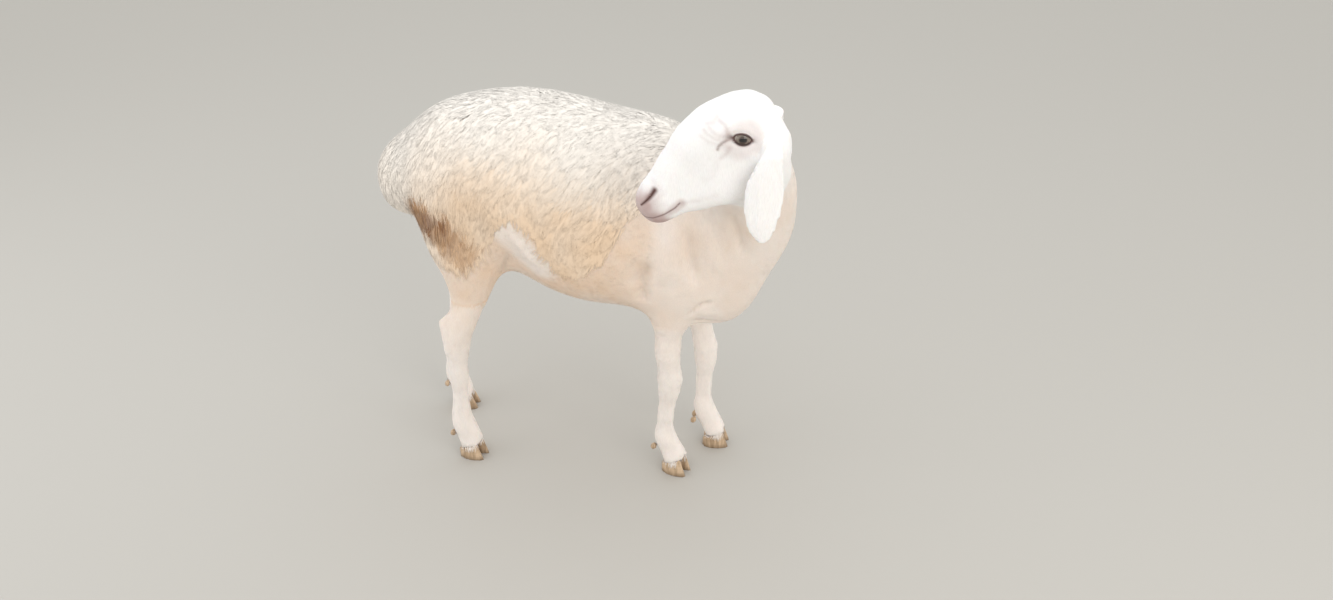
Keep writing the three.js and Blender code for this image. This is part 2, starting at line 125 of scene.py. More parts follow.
def noise(points: Array, grain: float | Array, seed: int) -> Array:
    """Smooth value noise over space.

    Args:
        points: Places in metres, (n, 3).
        grain: Size of one blotch in metres, for all axes or for each.
        seed: Number of the pattern.

    Returns:
        One value from -1 to 1 for each place.
    """
    scaled = points / np.asarray(grain) + 100.5 + 17.31 * seed
    cell = np.floor(scaled).astype(np.int64)
    part = scaled - cell
    part = part * part * (3 - 2 * part)
    total = np.zeros(len(points))
    for corner in range(8):
        offset = np.array([(corner >> k) & 1 for k in range(3)])
        key = (cell + offset).astype(np.uint64)
        mixed = key[:, 0] * np.uint64(73856093) ^ key[:, 1] * np.uint64(19349663)
        mixed = mixed ^ key[:, 2] * np.uint64(83492791) ^ np.uint64(seed * 2654435761 % 2**31)
        mixed = (mixed ^ (mixed >> np.uint64(13))) * np.uint64(1274126177)
        random = ((mixed ^ (mixed >> np.uint64(16))) & np.uint64(65535)).astype(float) / 32767.5 - 1
        total += random * np.prod(np.where(offset, part, 1 - part), axis=1)
    return total


def off_line(points: Array, line: Line) -> tuple[Array, Array]:
    """Measure places against a broken line, in a plane or in space.

    Args:
        points: Places, (n, 2) or (n, 3).
        line: Corners of the line.

    Returns:
        Distance from the line, and how far along it the nearest point is, from 0 to 1.
    """
    corners = np.array(line, float)
    lengths = np.linalg.norm(np.diff(corners, axis=0), axis=1)
    starts = np.concatenate([[0], np.cumsum(lengths)])
    best = np.full(len(points), np.inf)
    along = np.zeros(len(points))
    for i, length in enumerate(lengths):
        step = (corners[i + 1] - corners[i]) / length
        t = np.clip((points - corners[i]) @ step, 0, length)
        gap = np.linalg.norm(points - corners[i] - t[:, None] * step, axis=1)
        nearer = gap < best
        best[nearer] = gap[nearer]
        along[nearer] = (starts[i] + t[nearer]) / starts[-1]
    return best, along


def box(node: str) -> tuple[Array, Array]:
    """The lowest and the highest corner of a node's box, in metres."""
    low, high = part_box(node)
    return np.array(low), np.array(high)


def middle_of(node: str) -> Array:
    """The middle of a node's box, in metres."""
    return np.mean(box(node), axis=0)


def coordinates(mesh: bpy.types.Mesh, what: str = "co") -> Array:
    """Read the places of a mesh's points, or their normals.

    Args:
        mesh: The mesh.
        what: What to read: "co" for places, "normal" for normals.

    Returns:
        One row for each point, (n, 3).
    """
    flat = np.empty(len(mesh.vertices) * 3, np.float32)
    mesh.vertices.foreach_get(what, flat)
    return flat.reshape(-1, 3).astype(float)


def normals(mesh: bpy.types.Mesh) -> Array:
    """The normals of a mesh's points, (n, 3)."""
    return coordinates(mesh, "normal")


def place(mesh: bpy.types.Mesh, points: Array) -> None:
    """Move all of a mesh's points to the places given."""
    mesh.vertices.foreach_set("co", points.astype(np.float32).ravel())
    mesh.update()


def paint(mesh: bpy.types.Mesh, name: str, values: Array) -> None:
    """Store one number for each point of a mesh under a name."""
    layer = mesh.attributes.get(name) or mesh.attributes.new(name, "FLOAT", "POINT")
    layer.data.foreach_set("value", values.astype(np.float32))


def welded(source: bpy.types.Mesh) -> bpy.types.Mesh:
    """Copy a solid's mesh so that its faces share their corners.

    Args:
        source: Mesh of the solid.

    Returns:
        The copy.
    """
    work = bmesh.new()
    work.from_mesh(source)
    bmesh.ops.remove_doubles(work, verts=work.verts, dist=0.01 * MM)
    mesh = bpy.data.meshes.new("welded")
    work.to_mesh(mesh)
    work.free()
    return mesh


def leaving(solid: BVHTree, start: Vector, way: Vector, most: float) -> float | None:
    """Distance from a place to where a line leaves a solid.

    Args:
        solid: Faces of the solid.
        start: The place.
        way: Direction of the line.
        most: Length of the line.

    Returns:
        The distance, or nothing where the line doesn't leave it.
    """
    gone = 0.0
    for _ in range(3):
        hit, facing, _, far = solid.ray_cast(start + way * gone, way, most)
        if hit is None:
            return None
        gone += far + 0.01 * MM
        if facing.dot(way) > 0:
            return gone
    return None


def show(name: str, mesh: bpy.types.Mesh, material: bpy.types.Material) -> bpy.types.Object:
    """Put a mesh into the scene as one piece of the animal.

    Args:
        name: The piece's name.
        mesh: Its mesh, in the shared frame.
        material: Its only material.

    Returns:
        The piece, riding on the root body.
    """
    mesh.name = name
    mesh.materials.clear()
    mesh.materials.append(material)
    mesh.shade_smooth()
    piece = bpy.data.objects.new(name, mesh)
    bpy.context.scene.collection.objects.link(piece)
    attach(piece, "root")
    LOG.info("%s: %d faces", name, len(mesh.polygons))
    return piece


def applied(mesh: bpy.types.Mesh, kind: str, **settings: object) -> bpy.types.Mesh:
    """Run one modifier over a mesh.

    Args:
        mesh: The mesh to change; it is removed.
        kind: The modifier's type.
        settings: Its settings by name.

    Returns:
        The new mesh.
    """
    holder = bpy.data.objects.new("holder", mesh)
    bpy.context.scene.collection.objects.link(holder)
    modifier = holder.modifiers.new("change", kind)
    for name, value in settings.items():
        setattr(modifier, name, value)
    graph = bpy.context.evaluated_depsgraph_get()
    made = bpy.data.meshes.new_from_object(holder.evaluated_get(graph))
    bpy.data.objects.remove(holder)
    bpy.data.meshes.remove(mesh)
    return made


# ------------------------------------------------------------------ places on the animal
@dataclass(frozen=True)
class HeadFrame:
    """The head's own frame in millimetres: forward to the muzzle, left, and up to the crown."""

    origin: Array
    axes: Array
    eye_offset: float

    @classmethod
    def between_eyes(cls) -> "HeadFrame":
        """Find the frame from the solids of the eyes.

        Returns:
            The frame, with its origin midway between the eyeballs.
        """
        left, right = middle_of("eye_left"), middle_of("eye_right")
        sideways = unit((left - right) * [1, 1, 0])
        level = np.cross(sideways, [0, 0, 1])
        nod = math.radians(NOD_DEG)
        forward = level * math.cos(nod) - np.array([0, 0, math.sin(nod)])
        up = level * math.sin(nod) + np.array([0, 0, math.cos(nod)])
        apart = np.linalg.norm(left - right) / MM
        return cls((left + right) / 2, np.array([forward, sideways, up]), apart / 2)

    def local(self, points: Array) -> Array:
        """Places in the head's frame, in millimetres."""
        return (points - self.origin) @ self.axes.T / MM

    def world(self, local: Array) -> Array:
        """Places in the shared frame, in metres."""
        return self.origin + local * MM @ self.axes

    def turned(self, local: Array) -> Array:
        """Directions in the shared frame."""
        return local @ self.axes

    @staticmethod
    def off_eye(local: Array) -> Array:
        """Distance from where the nearer eye lies in the face, in millimetres."""
        return np.linalg.norm(np.abs(local) - [0, 47, 2], axis=1)


@dataclass(frozen=True)
class Markings:
    """Where the coat is long, warm, stained, thin or dark, for any place on the animal."""

    head: HeadFrame
    midline: float
    # Lower edge of the fleece on the flanks: distance along the body and height, in metres.
    fleece_edge: Line = (
        (-0.400, 0.510),
        (-0.300, 0.505),
        (-0.236, 0.497),
        (-0.194, 0.485),
        (-0.160, 0.500),
        (-0.134, 0.560),
        (-0.105, 0.602),
        (-0.080, 0.615),
        (-0.058, 0.597),
        (-0.030, 0.542),
        (0.000, 0.508),
        (0.030, 0.506),
        (0.063, 0.530),
        (0.093, 0.570),
        (0.115, 0.606),
        (0.150, 0.654),
        (0.200, 0.702),
        (0.240, 0.755),
        (0.270, 0.830),
    )
    # Middle of the stain behind the thigh and of the pale patch before the stifle, drawn the same way.
    stain_line: Line = ((-0.285, 0.580), (-0.222, 0.572), (-0.192, 0.515))
    flank_line: Line = ((-0.108, 0.592), (-0.042, 0.512))
    # Edge of the lips in the head's frame.
    lips: Line = ((206, -12), (199, -25), (168, -35), (138, -34))

    def fleece(self, points: Array, softness: float) -> Array:
        """Share of long wool at each place of the trunk.

        Args:
            points: Places in the shared frame.
            softness: Height over which short hair gives way to wool.

        Returns:
            0 in short hair and 1 in the fleece.
        """
        along, heights = np.array(self.fleece_edge).T
        edge = np.interp(points[:, 0], along, heights) + 0.014 * noise(points, 0.030, 3)
        return ease(points[:, 2] - edge, 0, softness)

    def stain(self, points: Array) -> Array:
        """Share of rust-brown stain on the wool behind the thighs.

        Args:
            points: Places in the shared frame.

        Returns:
            Shares from 0 to 1.
        """
        ragged = 0.014 * noise(points, [0.012, 0.02, 0.05], 5) + 0.01 * noise(points, 0.05, 6)
        gap, along = off_line(points[:, FROM_SIDE], self.stain_line)
        dock = ease(points[:, 0], -0.335, -0.305)
        return ease(gap + ragged, 0.046, 0.012) * (1 - 0.45 * ease(along, 0.35, 1.0)) * dock

    def warmth(self, points: Array) -> Array:
        """Share of peach in the coat: none on the back, most low on the flanks and thighs.

        Args:
            points: Places in the shared frame.

        Returns:
            Shares from 0 to 1.
        """
        low = ease(points[:, 2] + 0.03 * noise(points, 0.09, 7), 0.765, 0.595)
        legs = ease(points[:, 2], 0.30, 0.46)
        rump = 0.22 + 0.78 * ease(points[:, 0], -0.33, -0.20)
        chest = 1 - 0.62 * ease(points[:, 0], 0.09, 0.20)
        return low * rump * chest * (0.2 + 0.8 * legs) * (0.86 + 0.14 * noise(points, 0.03, 8))

    def flank(self, points: Array) -> Array:
        """Share of the paler patch of short hair on the fold before the stifle."""
        return ease(off_line(points[:, FROM_SIDE], self.flank_line)[0], 0.042, 0.014)

    def thinness(self, points: Array) -> Array:
        """Share of bare greyish pink skin that shows: the muzzle and round the eyes.

        Args:
            points: Places in the shared frame.

        Returns:
            Shares from 0 to 1.
        """
        at = self.head.local(points)
        muzzle = ease(at[:, 0] + 6 * noise(points, 0.012, 9), 150, 186) * ease(at[:, 2], 26, 4)
        lips = ease(off_line(at[:, FROM_SIDE], self.lips)[0], 12, 3)
        near_head = (at[:, 0] > 120) & (np.abs(at[:, 1]) < 40) & (at[:, 2] > -70)
        eyes = ease(np.linalg.norm(np.abs(at) - [6, 46, 3], axis=1), 34, 17) * 0.35
        return np.clip(np.where(near_head, np.maximum(muzzle, 0.55 * lips), 0) + eyes, 0, 1)


class Crease(Enum):
    """How a line marks the face: as a sharp slit, or as a furrow or swell that runs out at both ends."""

    SLIT = "slit"
    SOFT = "soft"


@dataclass(frozen=True)
class Fold:
    """One line of the face, drawn from the side in the head's frame, in millimetres.

    It sinks by its depth, or swells if that is below zero. Its crease shade is painted shade that darkens it,
    and its blush bares the pink skin; spread widens it towards its end, and ripple makes it wander.
    """

    line: Line
    depth: float
    width: float
    crease_shade: float = 0.0
    blush: float = 0.0
    spread: float = 0.0
    kind: Crease = Crease.SOFT
    ripple: float = 0.0


# the slits of the mouth and of the nostrils are filled with painted shade
MOUTH = Fold(
    ((206, -9), (203, -15), (199, -23), (188, -29), (168, -33.4), (150, -34.4), (139, -32)),
    2.2,
    1.1,
    crease_shade=0.66,
    blush=0.45,
    kind=Crease.SLIT,
)
NOSTRIL = Fold(
    ((190, -2.0), (182, -0.4), (172, 1.6), (164, 3.8), (157, 6.4)),
    6.0,
    1.2,
    crease_shade=1.0,
    blush=1.0,
    spread=1.8,
    kind=Crease.SLIT,
)
FACE = (
    # the closed mouth, its corner, and the swell of the lips above and below it
    MOUTH,
    Fold(((139, -33), (128, -37), (114, -44)), 1.2, 2.4, crease_shade=0.05, blush=0.15),
    Fold(((204, -6), (192, -22), (168, -27), (150, -28)), -1.0, 4.0),
    Fold(((199, -30), (186, -37), (160, -41)), -0.9, 4.5),
    # the slits of the nostrils, the fold of skin over and under each, and the furrow behind
    NOSTRIL,
    Fold(((192, 6), (182, 7.5), (172, 10), (165, 14), (158, 19)), -1.7, 3.0),
    Fold(((186, -8), (170, -6), (157, -3)), -0.8, 3.0, blush=0.3),
    Fold(((152, 17), (148, 7), (151, -5)), 0.9, 2.6, blush=0.3),
    # the tear line and the wrinkles before and above the eye
    Fold(((17, 14.5), (26, 15), (33, 13.5), (38, 9.5)), 1.8, 1.7, crease_shade=0.42, blush=0.5, ripple=0.7),
    Fold(((22, 2), (32, -3), (42, -4)), 0.8, 2.2, crease_shade=0.03, blush=0.35, ripple=0.6),
    Fold(((12, 20), (9, 27), (7.6, 33), (11, 41)), 1.1, 2.0, crease_shade=0.06, blush=0.5, ripple=0.6),
    Fold(((19, 22), (25, 28), (28, 36), (29, 46)), 0.9, 1.8, crease_shade=0.02, blush=0.35, ripple=1.1),
    Fold(((27, 22), (32, 27), (36, 34), (38, 42)), 0.8, 1.7, crease_shade=0.02, blush=0.35, ripple=1.2),
    Fold(((37, 20), (42, 26), (45, 32), (47, 38)), 0.6, 1.7, crease_shade=0.01, blush=0.25, ripple=1.1),
    Fold(((10, 46), (20, 44), (30, 47)), 0.6, 1.8, blush=0.4, ripple=0.8),
    Fold(((50, -6), (60, -15), (71, -21), (84, -20)), 0.8, 3.6, blush=0.15),
    # cheekbone, edge of the chewing muscle and the jaw's lower border
    Fold(((4, -13), (30, -10), (62, -6), (96, -3)), -1.6, 8.0),
    Fold(((86, -30), (80, -46), (66, -60), (48, -72)), 1.2, 5.0),
    Fold(((120, -40), (98, -47), (84, -50)), 0.9, 3.0, blush=0.2),
)


@dataclass(frozen=True)
class BodyFold:
    """One fold or ridge of the body, along a line in millimetres, and on the far side too if mirrored."""

    line: Line
    depth: float
    width: float
    mirrored: bool = True


BODY = (
    # the crease behind the elbow, deep between the foreleg and the belly
    BodyFold(
        ((136, -50, 448), (138, -61, 480), (141, -69, 507), (149, -74, 531), (160, -75, 552)), 13.0, 12.0
    ),
    BodyFold(((124, -58, 490), (130, -70, 525), (142, -76, 562)), 4.5, 20.0),
    # the rise of the shoulder and upper arm
    BodyFold(((196, -78, 640), (190, -74, 590), (187, -68, 540), (180, -62, 500)), -8.0, 22.0),
    # the valley between shoulder and chest
    BodyFold(
        ((216, -62, 625), (222, -60, 583), (225, -58, 556), (230, -53, 530), (237, -45, 496)),
        9.0,
        11.0,
        mirrored=False,
    ),
    BodyFold(((246, -60, 640), (254, -52, 590), (266, -44, 545), (277, -36, 520)), -5.0, 12.0, False),
    # loose folds down the bent neck
    BodyFold(((268, -78, 690), (262, -66, 640), (262, -58, 600)), 4.5, 8.0, False),
    BodyFold(((301, -100, 680), (301, -75, 641), (309, -52, 595), (314, -30, 555)), 8.0, 10.0, False),
    BodyFold(((322, -84, 690), (326, -62, 640), (328, -44, 596)), -2.2, 10.0, False),
    # the folds of the brisket between the forelegs
    BodyFold(
        ((219, -33, 420), (230, -33, 437), (239, -32, 447), (251, -28, 452), (262, -24, 454)),
        7.0,
        5.0,
        mirrored=False,
    ),
    BodyFold(
        ((222, -22, 412), (233, -8, 401), (247, 0, 395), (263, 16, 385), (282, 34, 375)),
        5.5,
        5.0,
        mirrored=False,
    ),
    BodyFold(((236, -28, 425), (254, -18, 424), (270, -6, 415)), -2.6, 9.0, False),
    # the fold of the flank before the stifle
    BodyFold(((-92, -80, 580), (-76, -77, 560), (-64, -72, 538), (-46, -66, 514)), -4.5, 9.0),
    BodyFold(((-104, -60, 540), (-116, -48, 512), (-128, -36, 486), (-144, -26, 452)), 5.0, 9.0),
)


@dataclass(frozen=True)
class LidFold:
    """A crease or swell along a lid, in millimetres: off its edge, how high, how wide, and where it ends."""

    upper: bool
    gap: float
    height: float
    width: float
    ends: Span


LID_FOLDS = (
    LidFold(True, 4.6, -1.3, 1.3, (17, 10)),
    LidFold(True, 2.2, 1.0, 1.8, (17, 10)),
    LidFold(False, 4.2, -0.8, 1.4, (16, 8)),
)


@dataclass(frozen=True)
class EyeShape:
    """The almond between the lids, drawn on the eyeball, in millimetres."""

    radius: float = 16.0
    slant_deg: float = 47.0
    half_length: float = 18.0
    rise: float = 8.0
    drop: float = 7.0
    centre: Span = (0.2, 1.4)
    lid: float = 1.6
    # How far the lids drape from their edges, and how deep the skin is sunk behind the eyeball's face.
    drape: float = 5.5
    sunk: float = 3.2
    # Place along the slit and size of the dark inner and outer corner.
    corners: Line = ((19.0, 4.4), (-17.8, 2.8))

    def turn(self, local: Array) -> tuple[Array, Array]:
        """Places along and across the slit of the lids.

        Args:
            local: Places in the head's frame.

        Returns:
            Distance towards the inner corner, and distance towards the brow.
        """
        angle = math.radians(self.slant_deg)
        forward = local[:, 0] - self.centre[0]
        up = local[:, 2] - self.centre[1]
        along = forward * math.cos(angle) + up * math.sin(angle)
        return along, up * math.cos(angle) - forward * math.sin(angle)

    def margins(self, along: Array) -> tuple[Array, Array]:
        """Follow the edges of both lids.

        Args:
            along: Places along the slit, in millimetres from its middle.

        Returns:
            Height of the upper edge and of the lower one.
        """
        full = np.clip(1 - (along / self.half_length) ** 2, 0, 1)
        tilt = 1 + 0.16 * along / self.half_length
        sharp = 0.72 + 0.38 * np.clip(-along / self.half_length, 0, 1)
        return self.rise * full**sharp * tilt, -self.drop * full ** (sharp + 0.06) * (2 - tilt)

    def outline(self, count: int) -> Array:
        """Walk round the almond.

        Args:
            count: Number of points.

        Returns:
            Places along and across the slit, (count, 2).
        """
        angle = np.arange(count) / count * 2 * np.pi
        along = self.half_length * np.cos(angle)
        upper, lower = self.margins(along)
        return np.stack([along, np.where(np.sin(angle) >= 0, upper, lower)], axis=1)

    def on_ball(self, shape: Array, radius: float, side: int, head: HeadFrame) -> Array:
        """Places on a ball round the eye's centre, in the shared frame.

        Args:
            shape: Along and across the slit.
            radius: Radius of the ball.
            side: 1 on the head's left and -1 on its right.
            head: The head's frame.

        Returns:
            Places in metres.
        """
        angle = math.radians(self.slant_deg)
        forward = shape[:, 0] * math.cos(angle) - shape[:, 1] * math.sin(angle) + self.centre[0]
        up = shape[:, 0] * math.sin(angle) + shape[:, 1] * math.cos(angle) + self.centre[1]
        flat = np.hypot(forward, up)
        share = np.minimum(1, radius * 0.985 / np.maximum(flat, 1e-6))
        forward, up = forward * share, up * share
        out = np.sqrt(np.maximum(radius**2 - forward**2 - up**2, 0.0))
        return head.world(np.stack([forward, side * (head.eye_offset + out), up], axis=1))


# ------------------------------------------------------------------ the skin
class Web:
    """The edges of a mesh, to blur what its points hold."""

    def __init__(self, mesh: bpy.types.Mesh) -> None:
        """Read the edges of a mesh.

        Args:
            mesh: The mesh.
        """
        flat = np.empty(len(mesh.edges) * 2, np.int32)
        mesh.edges.foreach_get("vertices", flat)
        self.ends = flat.reshape(-1, 2)
        self.count = len(mesh.vertices)
        self.near = np.maximum(np.bincount(flat, minlength=self.count), 1)

    def average(self, values: Array) -> Array:
        """Take the mean of each point's neighbours.

        Args:
            values: Values of the points, in one or more columns.

        Returns:
            The means, in the same form.
        """
        columns = values.reshape(self.count, -1)
        to, come = self.ends.ravel(), self.ends[:, ::-1].ravel()
        sums = [np.bincount(to, columns[come, k], self.count) for k in range(columns.shape[1])]
        return (np.stack(sums, axis=1) / self.near[:, None]).reshape(values.shape)

    def blur(self, values: Array, rounds: int, share: Array | float = 1.0) -> Array:
        """Average again and again.

        Args:
            values: Values of the points.
            rounds: How often.
            share: How far each point moves to its neighbours' mean.

        Returns:
            The blurred values.
        """
        for _ in range(rounds):
            values = values + share * (self.average(values) - values)
        return values


def dewclaws() -> Array:
    """Middles of the eight dewclaws, in metres."""
    return np.array([middle_of(name) for name in sorted(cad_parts) if "dewclaw" in name])


@dataclass
class Skin:
    """The one skin over trunk, neck, head, ears, tail and legs, sunk by the depth of the coat."""

    markings: Markings
    eye: EyeShape
    voxel: float = 5.3 * MM
    seam: float = 0.8 * MM
    wool_depth: float = 6.0 * MM
    hair_depth: float = 1.7 * MM
    polish: int = 32
    # The way the neck runs, along which its folds are drawn out.
    neck_line: tuple[float, float, float] = (0.13, -0.63, 0.77)
    # Outline of the wrinkled skin before the eye, in the head's frame.
    wrinkled: Line = ((12, 10), (38, 6), (42, 34), (10, 44))
    mesh: bpy.types.Mesh = field(init=False)
    # The name of the node that each point belongs to.
    parts: Array = field(init=False)

    def build(self, material: bpy.types.Material) -> bpy.types.Object:
        """Make the skin in place of the solids of flesh.

        Args:
            material: Short hair on skin.

        Returns:
            The skin's piece.
        """
        self.mesh, bodies, owners = self._joined()
        self.mesh = applied(self.mesh, "REMESH", mode="VOXEL", voxel_size=self.voxel)
        for shape in (self._settle, self._refine, self._fit_ears, self._carve):
            self.parts = self._parts(bodies, owners)
            shape()
        piece = show("skin", self.mesh, material)
        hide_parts(*FLESH)
        return piece

    def of(self, *nodes: str) -> Array:
        """Which points belong to one of the nodes."""
        return np.isin(self.parts, nodes)

    def each(self, table: dict[str, float], other: float) -> Array:
        """The number that a table gives the node of each point, or the other number."""
        return np.array([table.get(name, other) for name in self.parts.tolist()])

    def depth(self, points: Array) -> Array:
        """Depth of the coat over the trunk's skin at each place, in metres."""
        return self.hair_depth + (self.wool_depth - self.hair_depth) * self.markings.fleece(points, 0.08)

    def _joined(self) -> tuple[bpy.types.Mesh, BVHTree, list[str]]:
        """Join the solids of flesh, each grown a little to close the seams.

        Returns:
            The joined mesh, the solids as a search tree, and the node of each of its faces.
        """
        points: list[Array] = []
        faces: list[tuple[int, ...]] = []
        owners: list[str] = []
        for name in (*FLESH, *EYES):
            source = welded(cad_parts[name].data)
            grown = 2.0 * MM if name in EYES else self.seam
            start = sum(len(p) for p in points)
            points.append(coordinates(source) + grown * normals(source))
            faces += [tuple(start + i for i in polygon.vertices) for polygon in source.polygons]
            owners += [name] * len(source.polygons)
        corners = np.concatenate(points)
        mesh = bpy.data.meshes.new("joined")
        mesh.from_pydata(corners.tolist(), [], faces)
        return mesh, BVHTree.FromPolygons(corners.tolist(), faces), owners

    def _parts(self, bodies: BVHTree, owners: list[str]) -> Array:
        """Find the node that is nearest to each point of the skin.

        Args:
            bodies: The solids of flesh.
            owners: The node of each of their faces.

        Returns:
            The name of a node for each point.
        """
        names = np.array(owners)
        nearest = [bodies.find_nearest(Vector(p))[2] for p in coordinates(self.mesh)]
        return names[np.array(nearest)]

    def _settle(self) -> None:
        """Smooth away the facets and sink the skin by the depth of the coat."""
        web = Web(self.mesh)
        points = coordinates(self.mesh)
        share = self.each(ROUNDED, ROUNDED_ELSE)
        share[self.of("head") & (self.markings.head.local(points)[:, 0] < -25)] = ROUNDED_NAPE
        share = web.blur(share, 6)
        # out and in again in turn, which takes the facets off and leaves the forms their size
        for _ in range(self.polish):
            points = web.blur(points, 1, 0.60)
            points = web.blur(points, 1, -0.63)
        points = web.blur(points, 24, share[:, None] * 0.8)
        place(self.mesh, points)
        trunk = web.blur(self.of(*TRUNK).astype(float), 8)
        hair = self.each(HAIR_MM, HAIR_MM_ELSE) * MM
        depth = web.blur(np.where(trunk > 0.5, self.depth(points), hair), 4)
        sunk = points - web.blur(normals(self.mesh), 4) * depth[:, None]
        place(self.mesh, web.blur(sunk, 6, 0.6 * trunk[:, None]))

    def _refine(self) -> None:
        """Split the faces of head, ears and feet, and again round eyes, nostrils, mouth and wrinkles."""
        for finer in (False, True):
            work = bmesh.new()
            work.from_mesh(self.mesh)
            chosen = self._wanted(coordinates(self.mesh), finer)
            work.verts.ensure_lookup_table()
            edges = [e for e in work.edges if chosen[e.verts[0].index] and chosen[e.verts[1].index]]
            bmesh.ops.subdivide_edges(work, edges=edges, cuts=1, use_grid_fill=True)
            work.to_mesh(self.mesh)
            work.free()
            web = Web(self.mesh)
            points = coordinates(self.mesh)
            again = web.blur(self._wanted(points, finer).astype(float), 2)
            place(self.mesh, web.blur(points, 3, 0.35 * again[:, None]))

    def _wanted(self, points: Array, finer: bool) -> Array:
        """Say which points need a finer mesh.

        Args:
            points: Places in the shared frame.
            finer: Whether only the finest places are asked for.

        Returns:
            True for each point wanted.
        """
        at = self.markings.head.local(points)
        mirrored = np.abs(at)
        face = (at[:, 0] > -30) & (mirrored[:, 1] < 62) & (at[:, 2] > -88) & (at[:, 2] < 75)
        if not finer:
            ear = np.zeros(len(points), bool)
            for name in EARS:
                low, high = box(name)
                ear |= np.all((points > low - 4 * MM) & (points < high + 4 * MM), axis=1)
            return (face & (at[:, 0] < 225)) | ear | (points[:, 2] < 0.10)
        eye = self.markings.head.off_eye(at) < 22
        wrinkles, mouth, nostril = (
            off_line(at[:, FROM_SIDE], line)[0] < reach
            for line, reach in ((self.wrinkled, 8), (MOUTH.line, 5), (NOSTRIL.line, 8))
        )
        return face & (eye | (wrinkles & (mirrored[:, 1] > 24)) | mouth | (nostril & (mirrored[:, 1] > 9)))

    def _fit_ears(self) -> None:
        """Bring the thin ears back to their full outline, which the smoothing has drawn in."""
        web = Web(self.mesh)
        for name in EARS:
            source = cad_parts[name].data
            faces = [tuple(polygon.vertices) for polygon in source.polygons]
            solid = BVHTree.FromPolygons(coordinates(source).tolist(), faces)
            mine = web.blur(self.of(name).astype(float), 2)
            chosen = np.flatnonzero(mine > 0.9)
            place(self.mesh, web.blur(coordinates(self.mesh), 10, 0.6 * mine[:, None]))
            for _ in range(8):
                points, out = coordinates(self.mesh), normals(self.mesh)
                move = np.zeros(len(points))
                for i in chosen:
                    far = leaving(solid, Vector(points[i] - 2 * MM * out[i]), Vector(out[i]), 14 * MM)
                    move[i] = 0 if far is None else far - 2.4 * MM
                points = points + out * web.blur(np.clip(move, -3 * MM, 5 * MM), 4, 0.7)[:, None]
                place(self.mesh, web.blur(points, 2, 0.4 * mine[:, None]))

    def _carve(self) -> None:
        """Cut eyes, nostrils, mouth and folds into the skin, and store what its finish reads."""
        web = Web(self.mesh)
        points = coordinates(self.mesh)
        outward = web.blur(normals(self.mesh), 1)
        at = self.markings.head.local(points)
        face = (self.of("head", *EYES) & (at[:, 0] > -35)) | (self.markings.head.off_eye(at) < 27)
        sink, crease_shade, blush = self._face_lines(points, at, face)
        points = points - outward * (sink * MM)[:, None]
        for middle in dewclaws():
            gap = np.linalg.norm(points - middle, axis=1)
            points = points + (middle - points) * (0.75 * ease(gap, 25 * MM, 13 * MM))[:, None]
        points, rim = self._open_eyes(at, points, face)
        points = points + outward * ((self._form(points, at) + self.body(points)) * MM)[:, None]
        place(self.mesh, points)
        trunk = web.blur(self.of(*TRUNK).astype(float), 3)
        fleece = self.markings.fleece(points, 0.04) * ease(trunk, 0.2, 0.8)
        thin = np.clip(self.markings.thinness(points) * face + blush, 0, 1)
        # the hollows of the body's folds, which get a faint painted shade below
        fold = -web.blur(self.body(points), 2)
        pale = face | self.of("head", *EARS)
        paint(self.mesh, "fleece", fleece)
        paint(self.mesh, "warm", self._warm(points, trunk, fleece))
        paint(self.mesh, "stain", self.markings.stain(points) * trunk)
        paint(self.mesh, "thin", thin)
        # dark holds painted shade in the creases of the face and, faintly, in the body's folds, besides the
        # dark skin by the lids
        paint(self.mesh, "dark", np.maximum(np.maximum(crease_shade, rim), 0.08 * ease(fold, 1.5, 9)))
        paint(self.mesh, "head", web.blur(pale.astype(float), 12))

    def _face_lines(self, points: Array, at: Array, face: Array) -> tuple[Array, Array, Array]:
        """Measure the lines of the face.

        Args:
            points: Places in the shared frame.
            at: The same in the head's frame.
            face: Which points are of the face.

        Returns:
            How deep each point sinks in millimetres, how much painted shade darkens it in the creases, and
            how pink.
        """
        sink, crease_shade, blush = (np.zeros(len(points)) for _ in range(3))
        for i, fold in enumerate(FACE):
            wander = np.stack([noise(points, 6 * MM, 20 + i), noise(points, 6 * MM, 60 + i)], axis=1)
            gap, along = off_line(at[:, FROM_SIDE] + fold.ripple * wander, fold.line)
            gap = gap / (1 + fold.spread * along)
            if fold.kind is Crease.SLIT:
                reach = np.exp(-((gap / fold.width) ** 4)) * ease(along, 1.0, 0.9)
            else:
                ends = ease(along, -0.02, 0.2) * ease(along, 1.02, 0.8)
                reach = np.exp(-((gap / fold.width) ** 2)) * ends
            # a line that starts on the muzzle may cross the middle of the head; the others keep to its sides
            reach *= (fold.line[0][0] > 150) | (np.abs(at[:, 1]) > 14)
            sink += np.where(face, fold.depth * reach, 0)
            crease_shade = np.maximum(crease_shade, fold.crease_shade * face * np.exp(-((gap / fold.width / 1.15) ** 2)))
            blush = np.maximum(blush, 0.7 * fold.blush * face * np.exp(-((gap / fold.width / 1.7) ** 2)))
        # the groove down the middle of the upper lip, darkened with painted shade
        groove = np.exp(-((at[:, 1] / 1.5) ** 2)) * ease(at[:, 0], 190, 199)
        groove *= ease(at[:, 2], 4, -2) * ease(at[:, 2], -24, -16)
        return sink + 1.4 * groove * face, np.maximum(crease_shade, 0.5 * groove * face), blush

